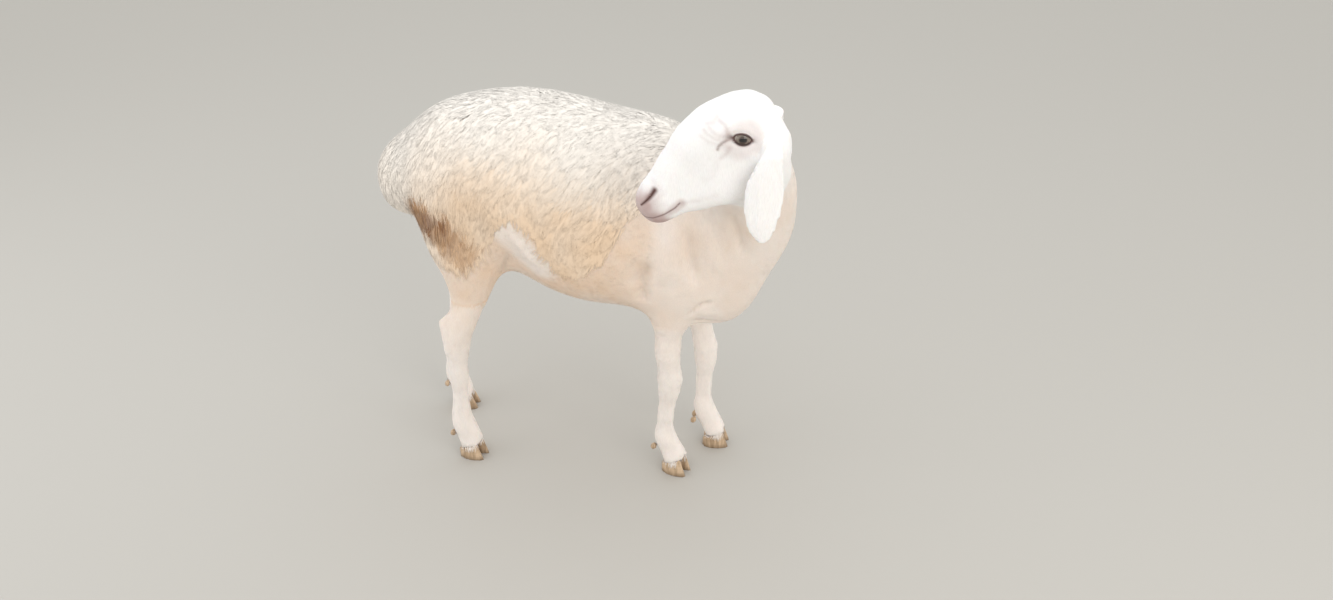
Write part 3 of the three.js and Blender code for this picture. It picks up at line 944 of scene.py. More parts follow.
    def _warm(self, points: Array, trunk: Array, fleece: Array) -> Array:
        """Share of peach in the coat that the skin shows.

        Args:
            points: Places in the shared frame.
            trunk: Share of trunk at each place.
            fleece: Share of long wool there.

        Returns:
            Shares from 0 to 1.
        """
        body = self.markings.warmth(points) * ease(trunk + self.of("neck") * 0.5, 0, 0.5)
        body = body * (0.72 + 0.28 * fleece) * (1 - 0.8 * self.markings.flank(points))
        leg = np.char.endswith(self.parts, "upper") | np.char.endswith(self.parts, "cannon")
        thigh = ease(points[:, 2], 0.24, 0.42) * np.where(points[:, 0] < 0, 0.42, 0.2)
        legs = leg * thigh * (0.8 + 0.2 * noise(points, 0.02, 12))
        loose = self.of("neck", "trunk") * noise(points, [40 * MM, 40 * MM, 90 * MM], 13)
        return np.clip(body + legs + 0.14 * loose, 0, 1)

    def _open_eyes(self, at: Array, points: Array, face: Array) -> tuple[Array, Array]:
        """Drape the lids over the eyeballs and open the gap between them.

        Args:
            at: Places in the head's frame.
            points: The same in the shared frame, carved so far.
            face: Which points are of the face.

        Returns:
            The moved points, and the share of dark lid edge.
        """
        head = self.markings.head
        side = np.where(at[:, 1] >= 0, 1, -1)
        along, across = self.eye.turn(at)
        upper, lower = self.eye.margins(along)
        inside = np.minimum(upper - across, across - lower)
        beyond = np.hypot(np.maximum(np.abs(along) - self.eye.half_length, 0), across)
        inside = np.where(np.abs(along) < self.eye.half_length, inside, -beyond)
        centre = np.stack([np.zeros(len(at)), side * head.eye_offset, np.zeros(len(at))], axis=1)
        spoke = at - centre
        reach = np.linalg.norm(spoke, axis=1)
        near = face & (reach < 34) & (spoke[:, 1] * side > 2)
        lid = self.eye.radius + self.eye.lid
        edge = np.maximum(-inside, 0)
        drape = np.exp(-((edge / self.eye.drape) ** 2))
        target = np.maximum(reach + (lid - reach) * drape, lid)
        for fold in LID_FOLDS:
            off = across - upper if fold.upper else lower - across
            ends = ease(np.abs(along), *fold.ends)
            target += fold.height * np.exp(-(((off - fold.gap) / fold.width) ** 2)) * ends
        target = np.where(inside > 0.2, self.eye.radius - self.eye.sunk, target)
        share = np.where(near, ease(reach, 34, 26) * np.maximum(drape, ease(inside, -12, -5)), 0)
        share = np.where(near & (inside > 0.2), 1, share)
        moved = at + spoke / np.maximum(reach, 1e-6)[:, None] * ((target - reach) * share)[:, None]
        thick = np.where(across > 0, 3.0, 3.6)
        rim = 0.95 * ease(edge, 1.6 * thick, 0.5 * thick)
        for middle, size in self.eye.corners:
            corner = np.hypot((along - middle) * 0.75, across)
            rim = np.maximum(rim, 0.9 * np.exp(-((corner / size) ** 2)))
        return head.world(moved), np.where(near, rim, 0)

    def body(self, points: Array) -> Array:
        """Heights of the folds of the body.

        Args:
            points: Places in the shared frame.

        Returns:
            Heights in millimetres.
        """
        height = np.zeros(len(points))
        mirrored = points * [1, -1, 1] + [0, 2 * self.markings.midline, 0]
        for fold in BODY:
            for here in (points, mirrored) if fold.mirrored else (points,):
                gap, along = off_line(here / MM, fold.line)
                ends = ease(along, -0.05, 0.3) * ease(along, 1.05, 0.7)
                height -= fold.depth * ends * np.exp(-((gap / fold.width) ** 2))
        return height

    def _form(self, points: Array, at: Array) -> Array:
        """Heights of the small forms: folds of the neck, tendons of the legs and the texture of the skin.

        Args:
            points: Places in the shared frame.
            at: The same in the head's frame.

        Returns:
            Heights in millimetres.
        """
        height = 0.10 * noise(points, 3 * MM, 31) * self.of("head")
        neck = unit(np.array(self.neck_line))
        down_neck = np.outer(points @ neck, neck)
        folds = noise(points - down_neck + 0.15 * down_neck, 20 * MM, 32)
        loose = ease(points[:, 0], 0.19, 0.24) * ease(points[:, 2], 0.40, 0.50) * ease(at[:, 0], 10, -40)
        height += 2.6 * folds * loose * self.of("neck", "trunk", "head")
        height += 0.7 * noise(points, 14 * MM, 33) * np.char.endswith(self.parts, "upper")
        height += 0.3 * noise(points, [12 * MM, 12 * MM, 40 * MM], 34) * self.of(*EARS)
        for leg in LEGS:
            # the hollow before the tendon, on both sides of the cannon
            mine = self.of(f"{leg}_cannon")
            low, high = box(f"{leg}_cannon")
            spoke = points[mine] - points[mine].mean(axis=0)
            main = np.linalg.svd(spoke[::7], full_matrices=False)[2][0]
            spoke = spoke - np.outer(spoke @ main, main)
            angle = np.degrees(np.arctan2(np.abs(spoke[:, 1]), spoke[:, 0]))
            up = points[mine, 2]
            ends = ease(up, low[2], low[2] + 0.03) * ease(up, high[2], high[2] - 0.03)
            height[mine] -= 1.3 * np.exp(-(((angle - 112) / 15) ** 2)) * ends
        return height


# ------------------------------------------------------------------ finishes
BLEND = {"data_type": "RGBA"}
MULTIPLY = {"data_type": "RGBA", "blend_type": "MULTIPLY"}
SMOOTH = {"interpolation_type": "SMOOTHSTEP"}


class Recipe:
    """The shader of one material, put together node by node."""

    def __init__(self, name: str) -> None:
        """Start from one plain Principled shader.

        Args:
            name: The material's name.
        """
        self.material = bpy.data.materials.new(name)
        self.material.use_nodes = True
        self.tree = self.material.node_tree

    def add(
        self, kind: str, settings: dict[str, str] | None = None, out: int | str = 0, **values: object
    ) -> bpy.types.NodeSocket:
        """Add one node with its settings and links.

        Args:
            kind: The node's type, without its "ShaderNode" start.
            settings: The node's own settings by name.
            out: The number or name of the output that is wanted.
            values: What its inputs get.

        Returns:
            The socket of that output.
        """
        made = self.tree.nodes.new("ShaderNode" + kind)
        for name, value in (settings or {}).items():
            setattr(made, name, value)
        self.feed(made, values)
        return made.outputs[out]

    def feed(self, node: bpy.types.Node, values: dict[str, object]) -> None:
        """Give a node's inputs their values.

        Args:
            node: The node.
            values: For each input, by its name or as i0, i1 and so on, a value or the socket that feeds it.
        """
        for name, value in values.items():
            key = int(name[1:]) if name[0] == "i" and name[1:].isdigit() else name.replace("_", " ")
            if isinstance(value, bpy.types.NodeSocket):
                self.tree.links.new(value, node.inputs[key])
            else:
                node.inputs[key].default_value = value

    def stored(self, *names: str) -> list[bpy.types.NodeSocket]:
        """The sockets of the numbers stored on the mesh under some names."""
        return [self.add("Attribute", {"attribute_name": name}, out="Fac") for name in names]

    def finished(self, **values: object) -> bpy.types.Material:
        """Give the shader's own sockets their values.

        Args:
            values: For each socket, by its name, a value or the socket that feeds it.

        Returns:
            The material.
        """
        self.feed(self.tree.nodes["Principled BSDF"], values)
        return self.material


@dataclass(frozen=True)
class ShortHair:
    """Short white hair lying close on pink skin.

    It grows, so nothing is polished: fine hairs break up the light into a matt surface with a faint soft
    sheen, pinkish where the hair is thin, dark at the edges of the lids, and darkened with painted shade
    where the skin is folded in.
    """

    body_white: str = "f3eae3"
    face_white: str = "fbf9f8"
    peach: str = "e6c3a0"
    rust: str = "b07d4c"
    thin_pink: str = "b89e9a"
    # colour of the dark skin by the lids and of the painted shade in the creases
    dark: str = "50302b"
    # A hair is far finer than this; it is drawn as coarse as it needs to show.
    hair_mm: float = 0.9
    hair_length_mm: float = 9.0
    blotch_mm: float = 35.0

    def make(self, tufts: bool = False) -> bpy.types.Material:
        """Build the finish.

        Args:
            tufts: Whether it is for loose tufts, which need no bump and let no light through.

        Returns:
            The material; it reads the markings stored on the skin.
        """
        recipe = Recipe("short hair tufts" if tufts else "short hair")
        add = recipe.add
        head, warm, stain, thin, dark = recipe.stored("head", "warm", "stain", "thin", "dark")
        at = add("TexCoord", out="Object")
        stretch = (1 / (self.hair_mm * MM), 1 / (self.hair_mm * MM), 1 / (self.hair_length_mm * MM))
        lie = add("Mapping", Rotation=(0.12, -0.3, 0), Scale=stretch, Vector=at)
        hairs = add("TexNoise", out="Fac", Vector=lie, Scale=1.0, Detail=3.0, Roughness=0.6)
        blotch = add("TexNoise", out="Fac", Vector=at, Scale=1 / (self.blotch_mm * MM), Detail=2.0)
        # peach and pink come and go in blotches
        warm, thin = (
            add(
                "Math",
                {"operation": "MULTIPLY", "use_clamp": True},
                i0=share,
                i1=add("Math", {"operation": "MULTIPLY_ADD"}, i0=blotch, i1=factor, i2=plus),
            )
            for share, factor, plus in ((warm, 0.7, 0.6), (thin, 0.75, 0.5))
        )
        colour = add("Mix", BLEND, 2, i0=head, i6=linear(self.body_white), i7=linear(self.face_white))
        colour = add("Mix", BLEND, 2, i0=warm, i6=colour, i7=linear(self.peach))
        colour = add("Mix", BLEND, 2, i0=stain, i6=colour, i7=linear(self.rust))
        shade = add("MapRange", Value=hairs, i1=0.3, i2=0.7, i3=0.93, i4=1.03)
        colour = add("Mix", MULTIPLY, 2, i0=1.0, i6=colour, i7=shade)
        colour = add("Mix", BLEND, 2, i0=thin, i6=colour, i7=linear(self.thin_pink))
        # the stored dark share darkens the lids' edges and paints shade into the creases
        surface = {
            "Base_Color": add("Mix", BLEND, 2, i0=dark, i6=colour, i7=linear(self.dark)),
            "Roughness": add("MapRange", Value=dark, i3=0.78, i4=0.42),
            "Specular_IOR_Level": 0.28,
            "Sheen_Weight": 0.12,
        }
        if not tufts:
            surface |= {
                "Subsurface_Weight": 0.10,
                "Subsurface_Radius": (0.006, 0.003, 0.0018),
                "Subsurface_Scale": 1.0,
                "Normal": add("Bump", Strength=0.32, Distance=0.5 * MM, Height=hairs),
            }
        return recipe.finished(**surface)


@dataclass(frozen=True)
class Wool:
    """Washed-out white fleece, warm on the flanks and stained rust-brown behind the thighs.

    Each fibre is scaly and dull, so a lock has no gloss of its own, and its roots are a little darker and
    yellower than its tips.
    """

    white: str = "faf4ec"
    peach: str = "f0d3b4"
    rust: str = "7e4c27"
    gold: str = "c4935c"
    root: str = "efe3d4"

    def make(self) -> bpy.types.Material:
        """Build the finish.

        Returns:
            The material; it reads the markings stored on each tuft.
        """
        recipe = Recipe("wool")
        add = recipe.add
        warm, stain, tone, tip = recipe.stored("warm", "stain", "tone", "tip")
        colour = add("Mix", BLEND, 2, i0=warm, i6=linear(self.white), i7=linear(self.peach))
        bleached = add("MapRange", Value=tone, i1=-0.6, i2=0.9)
        rust = add("Mix", BLEND, 2, i0=bleached, i6=linear(self.rust), i7=linear(self.gold))
        colour = add("Mix", BLEND, 2, i0=stain, i6=colour, i7=rust)
        depth = add("MapRange", Value=tip, i1=0.0, i2=0.7, i3=0.12, i4=0.0)
        colour = add("Mix", MULTIPLY, 2, i0=depth, i6=colour, i7=linear(self.root))
        shade = add("MapRange", Value=tone, i1=-1.0, i2=1.0, i3=0.95, i4=1.03)
        colour = add("Mix", MULTIPLY, 2, i0=1.0, i6=colour, i7=shade)
        return recipe.finished(
            Base_Color=colour, Roughness=0.82, Specular_IOR_Level=0.2, Sheen_Weight=0.1
        )


@dataclass(frozen=True)
class HoofHorn:
    """Horn of the claws: grown down in rings, worn dull by the ground, brown with paler streaks."""

    brown: str = "a0866a"
    pale: str = "d2b798"
    dirt: str = "5b4732"
    ring_mm: float = 3.2
    # Height to which the ground has darkened the horn.
    dirt_mm: float = 12.0

    def make(self) -> bpy.types.Material:
        """Build the finish.

        Returns:
            The material.
        """
        recipe = Recipe("hoof horn")
        add = recipe.add
        at = add("TexCoord", out="Object")
        turns = 1 / (self.ring_mm * MM) / (2 * math.pi)
        upright = {"bands_direction": "Z", "wave_profile": "SIN"}
        rings = add("TexWave", upright, "Fac", Vector=at, Scale=turns, Distortion=2.5, Detail=2.0)
        drawn_out = add("Mapping", Scale=(420, 420, 60), Vector=at)
        fibre = add("TexNoise", out="Fac", Vector=drawn_out, Scale=0.35, Detail=2.0)
        streaks = add("MapRange", Value=fibre, i1=0.35, i2=0.65)
        colour = add("Mix", BLEND, 2, i0=streaks, i6=linear(self.brown), i7=linear(self.pale))
        height = add("SeparateXYZ", out="Z", Vector=at)
        dirt = add("MapRange", Value=height, i1=0.0, i2=self.dirt_mm * MM, i3=0.6, i4=0.0)
        colour = add("Mix", BLEND, 2, i0=dirt, i6=colour, i7=linear(self.dirt))
        band = add("MapRange", Value=rings, i3=0.96, i4=1.02)
        return recipe.finished(
            Base_Color=add("Mix", MULTIPLY, 2, i0=1.0, i6=colour, i7=band),
            Roughness=add("MapRange", Value=fibre, i3=0.42, i4=0.66),
            Normal=add("Bump", Strength=0.35, Distance=0.4 * MM, Height=rings),
        )


@dataclass(frozen=True)
class WetEye:
    """The living eye: a grey-brown iris with a level slot of a pupil under a clear wet film."""

    white: str = "a09488"
    iris: str = "8f8376"
    outer_iris: str = "6c5f55"
    inner_iris: str = "43352d"
    pupil: str = "0b0908"
    # Radii between which the outer iris turns into the inner one, and the iris into the white.
    inner_mm: Span = (7.6, 4.6)
    edge_mm: Span = (9.6, 10.8)
    # Half the length and half the height of the pupil.
    pupil_mm: Span = (5.0, 2.6)

    def make(self) -> bpy.types.Material:
        """Build the finish.

        Returns:
            The material; it reads the places stored on the eyeball, in millimetres from its front.
        """
        recipe = Recipe("wet eye")
        add = recipe.add
        across, up = recipe.stored("across", "up")
        flat = add("CombineXYZ", X=across, Y=up)
        radius = add("VectorMath", {"operation": "LENGTH"}, "Value", i0=flat)
        angle = add("Math", {"operation": "ARCTAN2"}, i0=up, i1=across)
        outwards = add("Math", {"operation": "MULTIPLY"}, i0=radius, i1=0.25)
        spokes = add("CombineXYZ", X=angle, Y=outwards)
        rays = add("TexNoise", out="Fac", Vector=spokes, Scale=9.0, Detail=3.0)
        colour = add("Mix", BLEND, 2, i0=rays, i6=linear(self.outer_iris), i7=linear(self.iris))
        inner = add("MapRange", SMOOTH, Value=radius, i1=self.inner_mm[0], i2=self.inner_mm[1])
        colour = add("Mix", BLEND, 2, i0=inner, i6=colour, i7=linear(self.inner_iris))
        beyond = add("MapRange", SMOOTH, Value=radius, i1=self.edge_mm[0], i2=self.edge_mm[1])
        colour = add("Mix", BLEND, 2, i0=beyond, i6=colour, i7=linear(self.white))
        # the pupil is a rounded slot: its ends are steeper than its long sides
        wide, tall = (
            add(
                "Math",
                {"operation": "POWER"},
                i0=add("Math", {"operation": "MULTIPLY"}, i0=place_of, i1=1 / half),
                i1=power,
            )
            for place_of, half, power in ((across, self.pupil_mm[0], 4.0), (up, self.pupil_mm[1], 2.0))
        )
        slot = add("Math", {"operation": "ADD"}, i0=wide, i1=tall)
        pupil = add("MapRange", SMOOTH, Value=slot, i1=1.25, i2=0.85)
        colour = add("Mix", BLEND, 2, i0=pupil, i6=colour, i7=linear(self.pupil))
        return recipe.finished(
            Base_Color=colour, Roughness=0.22, IOR=1.376, Coat_Weight=1.0, Coat_Roughness=0.03
        )


@dataclass(frozen=True)
class LidEdge:
    """The bare dark rim of the eyelids, moist and finely creased."""

    colour: str = "2c211f"
    crease: str = "4a3835"
    crease_mm: float = 0.9

    def make(self) -> bpy.types.Material:
        """Build the finish.

        Returns:
            The material.
        """
        recipe = Recipe("lid edge")
        add = recipe.add
        at = add("TexCoord", out="Object")
        grain = add("TexNoise", out="Fac", Vector=at, Scale=1 / (self.crease_mm * MM), Detail=2.0)
        return recipe.finished(
            Base_Color=add("Mix", BLEND, 2, i0=grain, i6=linear(self.colour), i7=linear(self.crease)),
            Roughness=0.38,
            Normal=add("Bump", Strength=0.3, Distance=0.2 * MM, Height=grain),
        )


# ------------------------------------------------------------------ eyes and feet
@dataclass
class Eye:
    """One eyeball with the dark rims of its lids."""

    side: int
    shape: EyeShape
    head: HeadFrame
    # How far the cornea stands out, and the way the eye looks in the head's frame, in millimetres.
    bulge: float = 0.7
    gaze: tuple[float, float, float] = (-0.04, 1.0, 0.02)
    # Half the thickness of the lids' rim, and how far its middle lies outwards and over the eyeball.
    rim: float = 1.4
    rim_out: float = 0.35
    rim_lift: float = 0.75

    def build(self, wet: bpy.types.Material, edge: bpy.types.Material) -> None:
        """Make the eyeball in place of its solid, and the rim round the gap of the lids.

        Args:
            wet: Finish of the eyeball.
            edge: Finish of the rim.
        """
        name = "left" if self.side > 0 else "right"
        ball = show(f"eyeball_{name}", self._ball(), wet)
        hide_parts(f"eye_{name}")
        rim = show(f"lid_rim_{name}", self._rim(), edge)

    def _ball(self) -> bpy.types.Mesh:
        """Make a ball with a slightly raised cornea.

        Returns:
            The ball, with each point's place from its front stored on it in millimetres.
        """
        work = bmesh.new()
        bmesh.ops.create_uvsphere(work, u_segments=64, v_segments=48, radius=1.0)
        mesh = bpy.data.meshes.new("ball")
        work.to_mesh(mesh)
        work.free()
        ball = coordinates(mesh)
        # the pole of the sphere is turned to the front of the eye, and its slot of a pupil lies level
        gaze = unit(np.array(self.gaze))
        nod = math.radians(NOD_DEG)
        level = unit(np.cross(gaze, [-math.sin(nod), 0, math.cos(nod)]))
        raised = np.cross(level, gaze)
        forward = ball[:, 2]
        radius = self.shape.radius + self.bulge * ease(forward, 0.80, 0.97)
        local = np.outer(ball[:, 0], level) + np.outer(ball[:, 1], raised) + np.outer(forward, gaze)
        local *= radius[:, None]
        local[:, 1] *= self.side
        place(mesh, self.head.world(local + [0, self.side * self.head.eye_offset, 0]))
        if self.side < 0:
            mesh.flip_normals()
        # the back of the ball is stored far out, in the white
        front = np.where(forward > 0, 1, 50)
        paint(mesh, "across", ball[:, 0] * self.shape.radius * front)
        paint(mesh, "up", ball[:, 1] * self.shape.radius * front)
        return mesh

    def _rim(self) -> bpy.types.Mesh:
        """Make a soft band along the edges of both lids.

        Returns:
            The band.
        """
        count, sides = 72, 8
        line = self.shape.outline(count)
        rings = []
        for k in range(sides):
            angle = 2 * math.pi * k / sides
            grown = 1 + (self.rim * math.cos(angle) + self.rim_out) / 12.0
            lift = self.shape.radius + self.rim_lift + self.rim * math.sin(angle)
            rings.append(self.shape.on_ball(line * grown, lift, self.side, self.head))
        points = np.stack(rings, axis=1).reshape(-1, 3)
        faces = []
        for i in range(count):
            for k in range(sides):
                here, there = i * sides, (i + 1) % count * sides
                corners = (here + k, here + (k + 1) % sides, there + (k + 1) % sides, there + k)
                faces.append(corners if self.side > 0 else corners[::-1])
        mesh = bpy.data.meshes.new("rim")
        mesh.from_pydata(points.tolist(), [], faces)
        return mesh


@dataclass
class Foot:
    """The horn of one cloven foot: two claws and two dewclaws."""

    leg: str
    voxel: float = 1.3 * MM
    ring: float = 3.4 * MM
    tuck: float = 5.0 * MM

    def build(self, horn: bpy.types.Material) -> list[bpy.types.Mesh]:
        """Make each claw in place of its solid.

        Args:
            horn: Finish of the horn.

        Returns:
            The meshes of the horn.
        """
        made = []
        for kind in ("claw", "dewclaw"):
            for which in ("inner", "outer"):
                node = f"{self.leg}_{kind}_{which}"
                piece = show(f"horn_{node}", self._grown(node, kind), horn)
                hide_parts(node)
                made.append(piece.data)
        return made

    def _grown(self, node: str, kind: str) -> bpy.types.Mesh:
        """Round the solid of a claw, tuck its top under the hair and ring it.

        Args:
            node: The claw's node.
            kind: Claw or dewclaw.

        Returns:
            The mesh.
        """
        mesh = welded(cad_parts[node].data)
        points = coordinates(mesh)
        if kind == "claw":
            upper = ease(points[:, 2], 0.014, 0.030)[:, None]
            points += upper * ((points.mean(axis=0) - points) * [0.16, 0.16, 0] + [0, 0, self.tuck])
            place(mesh, points)
        mesh = applied(mesh, "REMESH", mode="VOXEL", voxel_size=self.voxel)
        web = Web(mesh)
        points = coordinates(mesh)
        floor = points[:, 2].min() if kind == "claw" else -1.0
        sole = np.abs(points[:, 2] - floor) < 0.4 * MM
        points = web.blur(points, 9, 0.6 * np.where(sole, 0, 1)[:, None])
        points[sole, 2] = floor
        place(mesh, points)
        out = normals(mesh)
        phase = (points[:, 2] + 1.2 * MM * noise(points, 9 * MM, 41)) / self.ring
        wave = 0.22 * MM * np.sin(2 * math.pi * phase) + 0.25 * MM * noise(points, 5 * MM, 42)
        points += out * np.where(sole, 0, wave)[:, None]
        points[:, 2] = np.maximum(points[:, 2], max(floor, 0))
        place(mesh, points)
        return mesh


# ------------------------------------------------------------------ the studio
@dataclass(frozen=True)
class SoftLight:
    """One soft square light that faces the middle of the animal."""

    name: str
    at: tuple[float, float, float]
    size: float
    watts: float
    colour: str

    def hang(self) -> None:
        """Put the light into the scene."""
        lamp = bpy.data.lights.new(self.name, "AREA")
        lamp.shape = "SQUARE"
        lamp.size = self.size
        lamp.energy = self.watts
        lamp.color = linear(self.colour)[:3]
        light = bpy.data.objects.new(self.name, lamp)
        light.location = self.at
        light.rotation_euler = (Vector((0, 0, 0.5)) - Vector(self.at)).to_track_quat("-Z", "Y").to_euler()
        bpy.context.scene.collection.objects.link(light)


@dataclass(frozen=True)
class Studio:
    """A plain pale floor, soft lights and the camera."""

    camera_at: tuple[float, float, float] = (0.4816, -1.5160, 1.4000)
    look_along: tuple[float, float] = (-0.2011, 0.9796)
    pitch_deg: float = 32.0
    lens_mm: float = 26.74
    lights: tuple[SoftLight, ...] = (
        SoftLight("sky", (-0.3, 0.1, 3.2), 3.6, 17, "eef4ff"),
        SoftLight("window", (2.5, -2.2, 1.9), 2.4, 34, "fffaf4"),
        SoftLight("bounce", (-2.6, -1.0, 1.0), 2.2, 15, "fbfcff"),
    )
    glow: float = 1.08
    glow_colour: str = "f4f4f2"
    floor_colour: str = "bdbab4"

    def build(self) -> None:
        """Set up floor, lights and camera."""
        self._floor()
        for light in self.lights:
            light.hang()
        world = bpy.data.worlds.new("studio")
        bpy.context.scene.world = world
        world.use_nodes = True
        background = world.node_tree.nodes["Background"]
        background.inputs["Color"].default_value = linear(self.glow_colour)
        background.inputs["Strength"].default_value = self.glow
        bpy.context.scene.view_settings.view_transform = "Standard"
        self._camera()

    def _floor(self) -> None:
        """Lay a wide plain floor."""
        bpy.ops.mesh.primitive_plane_add(size=40)
        floor = bpy.context.object
        floor.name = "floor"
        finish = Recipe("pale floor").finished(Base_Color=linear(self.floor_colour), Roughness=0.9)
        floor.data.materials.append(finish)

    def _camera(self) -> None:
        """Set up the camera, which looks down on the animal from its right."""
        lens = bpy.data.cameras.new("camera")
        lens.lens = self.lens_mm
        lens.sensor_width = 36.0
        lens.sensor_fit = "HORIZONTAL"
        camera = bpy.data.objects.new("camera", lens)
        down = math.radians(self.pitch_deg)
        ahead = Vector((*self.look_along, 0)).normalized() * math.cos(down) - Vector((0, 0, math.sin(down)))
        camera.location = self.camera_at
        camera.rotation_euler = ahead.to_track_quat("-Z", "Y").to_euler()
        bpy.context.scene.collection.objects.link(camera)
        bpy.context.scene.camera = camera


# ------------------------------------------------------------------ the coat
@dataclass
class Ground:
    """The finished skin, and the horn that the hair hangs over, as a ground to lay tufts on."""

    mesh: bpy.types.Mesh
    horn: list[bpy.types.Mesh]
    points: Array = field(init=False)
    corners: Array = field(init=False)
    smooth: Array = field(init=False)
    tree: BVHTree = field(init=False)

    def __post_init__(self) -> None:
        """Read the triangles and soften the normals."""
        points, corners, smooth = [], [], []
        for mesh in (self.mesh, *self.horn):
            mesh.calc_loop_triangles()
            flat = np.empty(len(mesh.loop_triangles) * 3, np.int32)
            mesh.loop_triangles.foreach_get("vertices", flat)
            corners.append(flat.reshape(-1, 3) + sum(len(p) for p in points))
            points.append(coordinates(mesh))
            smooth.append(unit(Web(mesh).blur(normals(mesh), 5)))
        self.points, self.corners, self.smooth = (np.concatenate(a) for a in (points, corners, smooth))
        self.tree = BVHTree.FromPolygons(self.points.tolist(), self.corners.tolist())

    def values(self, name: str) -> Array:
        """Read what the skin's points hold under a name, with zeros for the horn.

        Args:
            name: The name.

        Returns:
            One number for each point.
        """
        out = np.empty(len(self.mesh.vertices), np.float32)
        self.mesh.attributes[name].data.foreach_get("value", out)
        return self.padded(out.astype(float))

    def padded(self, values: Array) -> Array:
        """Values of the skin's points with zeros added for the horn."""
        return np.concatenate([values, np.zeros(len(self.points) - len(values))])

    def scattered(self, density: Array, rng: np.random.Generator) -> tuple[Array, Array, Array]:
        """Strew roots over the skin.

        Args:
            density: Roots per square metre at each point of the skin.
            rng: Source of chance.

        Returns:
            Places, normals, and the skin point nearest to each root.
        """
        a, b, c = (self.points[self.corners[:, k]] for k in range(3))
        area = np.linalg.norm(np.cross(b - a, c - a), axis=1) / 2
        wanted = area * density[self.corners].mean(axis=1)
        count = int(round(wanted.sum()))
        picked = np.sort(rng.choice(len(wanted), count, p=wanted / wanted.sum()))
        shares = rng.dirichlet((1, 1, 1), count)
        corner = self.corners[picked]
        where = np.einsum("nk,nkd->nd", shares, self.points[corner])
        facing = unit(np.einsum("nk,nkd->nd", shares, self.smooth[corner]))
        return where, facing, corner[np.arange(count), shares.argmax(axis=1)]

    def nearest(self, points: Array) -> tuple[Array, Array]:
        """Go to the nearest places on the ground.

        Args:
            points: Places to start from.

        Returns:
            The nearest places on the ground, and the soft normals there.
        """
        found = [self.tree.find_nearest(p) for p in points.tolist()]
        place_on = np.array([f[0] for f in found])
        return place_on, unit(self.smooth[self.corners[[f[2] for f in found]]].mean(axis=1))

    def followed(
        self, start: Array, facing: Array, lie: Array, length: Array, steps: int
    ) -> tuple[Array, Array]:
        """Walk along the skin from each root.

        Args:
            start: Roots.
            facing: Normals at the roots.
            lie: The way each tuft lies; it is laid flat on the skin at every step.
            length: Length of each tuft.
            steps: Number of steps.

        Returns:
            Places on the skin, (n, steps + 1, 3), and the normals there.
        """
        track, turns = [start], [facing]
        for _ in range(steps):
            flat = lie - np.sum(lie * turns[-1], axis=1, keepdims=True) * turns[-1]
            ahead, turn = self.nearest(track[-1] + unit(flat) * (length / steps)[:, None])
            track.append(ahead)
            turns.append(turn)
        return np.stack(track, axis=1), np.stack(turns, axis=1)


def unrolled(roots: Array) -> Array:
    """Unroll a part of the skin round its own long axis.

    Args:
        roots: Places on that part.

    Returns:
        Two numbers from 0.01 to 0.99 for each place: the turn round the axis and the way along it.
    """
    middle = roots.mean(axis=0)
    axes = np.linalg.svd((roots - middle)[:: max(1, len(roots) // 3000)], full_matrices=False)[2]
    local = (roots - middle) @ axes.T
    turn = np.arctan2(local[:, 2], local[:, 1])
    # the cut runs along the widest gap between the roots
    order = np.sort(turn)
    gaps = np.diff(np.append(order, order[0] + 2 * np.pi))
    cut = order[(gaps.argmax() + 1) % len(order)]
    flat = np.stack([(turn - cut) % (2 * np.pi), local[:, 0]], axis=1)
    low, high = flat.min(axis=0), flat.max(axis=0)
    return 0.01 + 0.98 * (flat - low) / np.maximum(high - low, 1e-9)


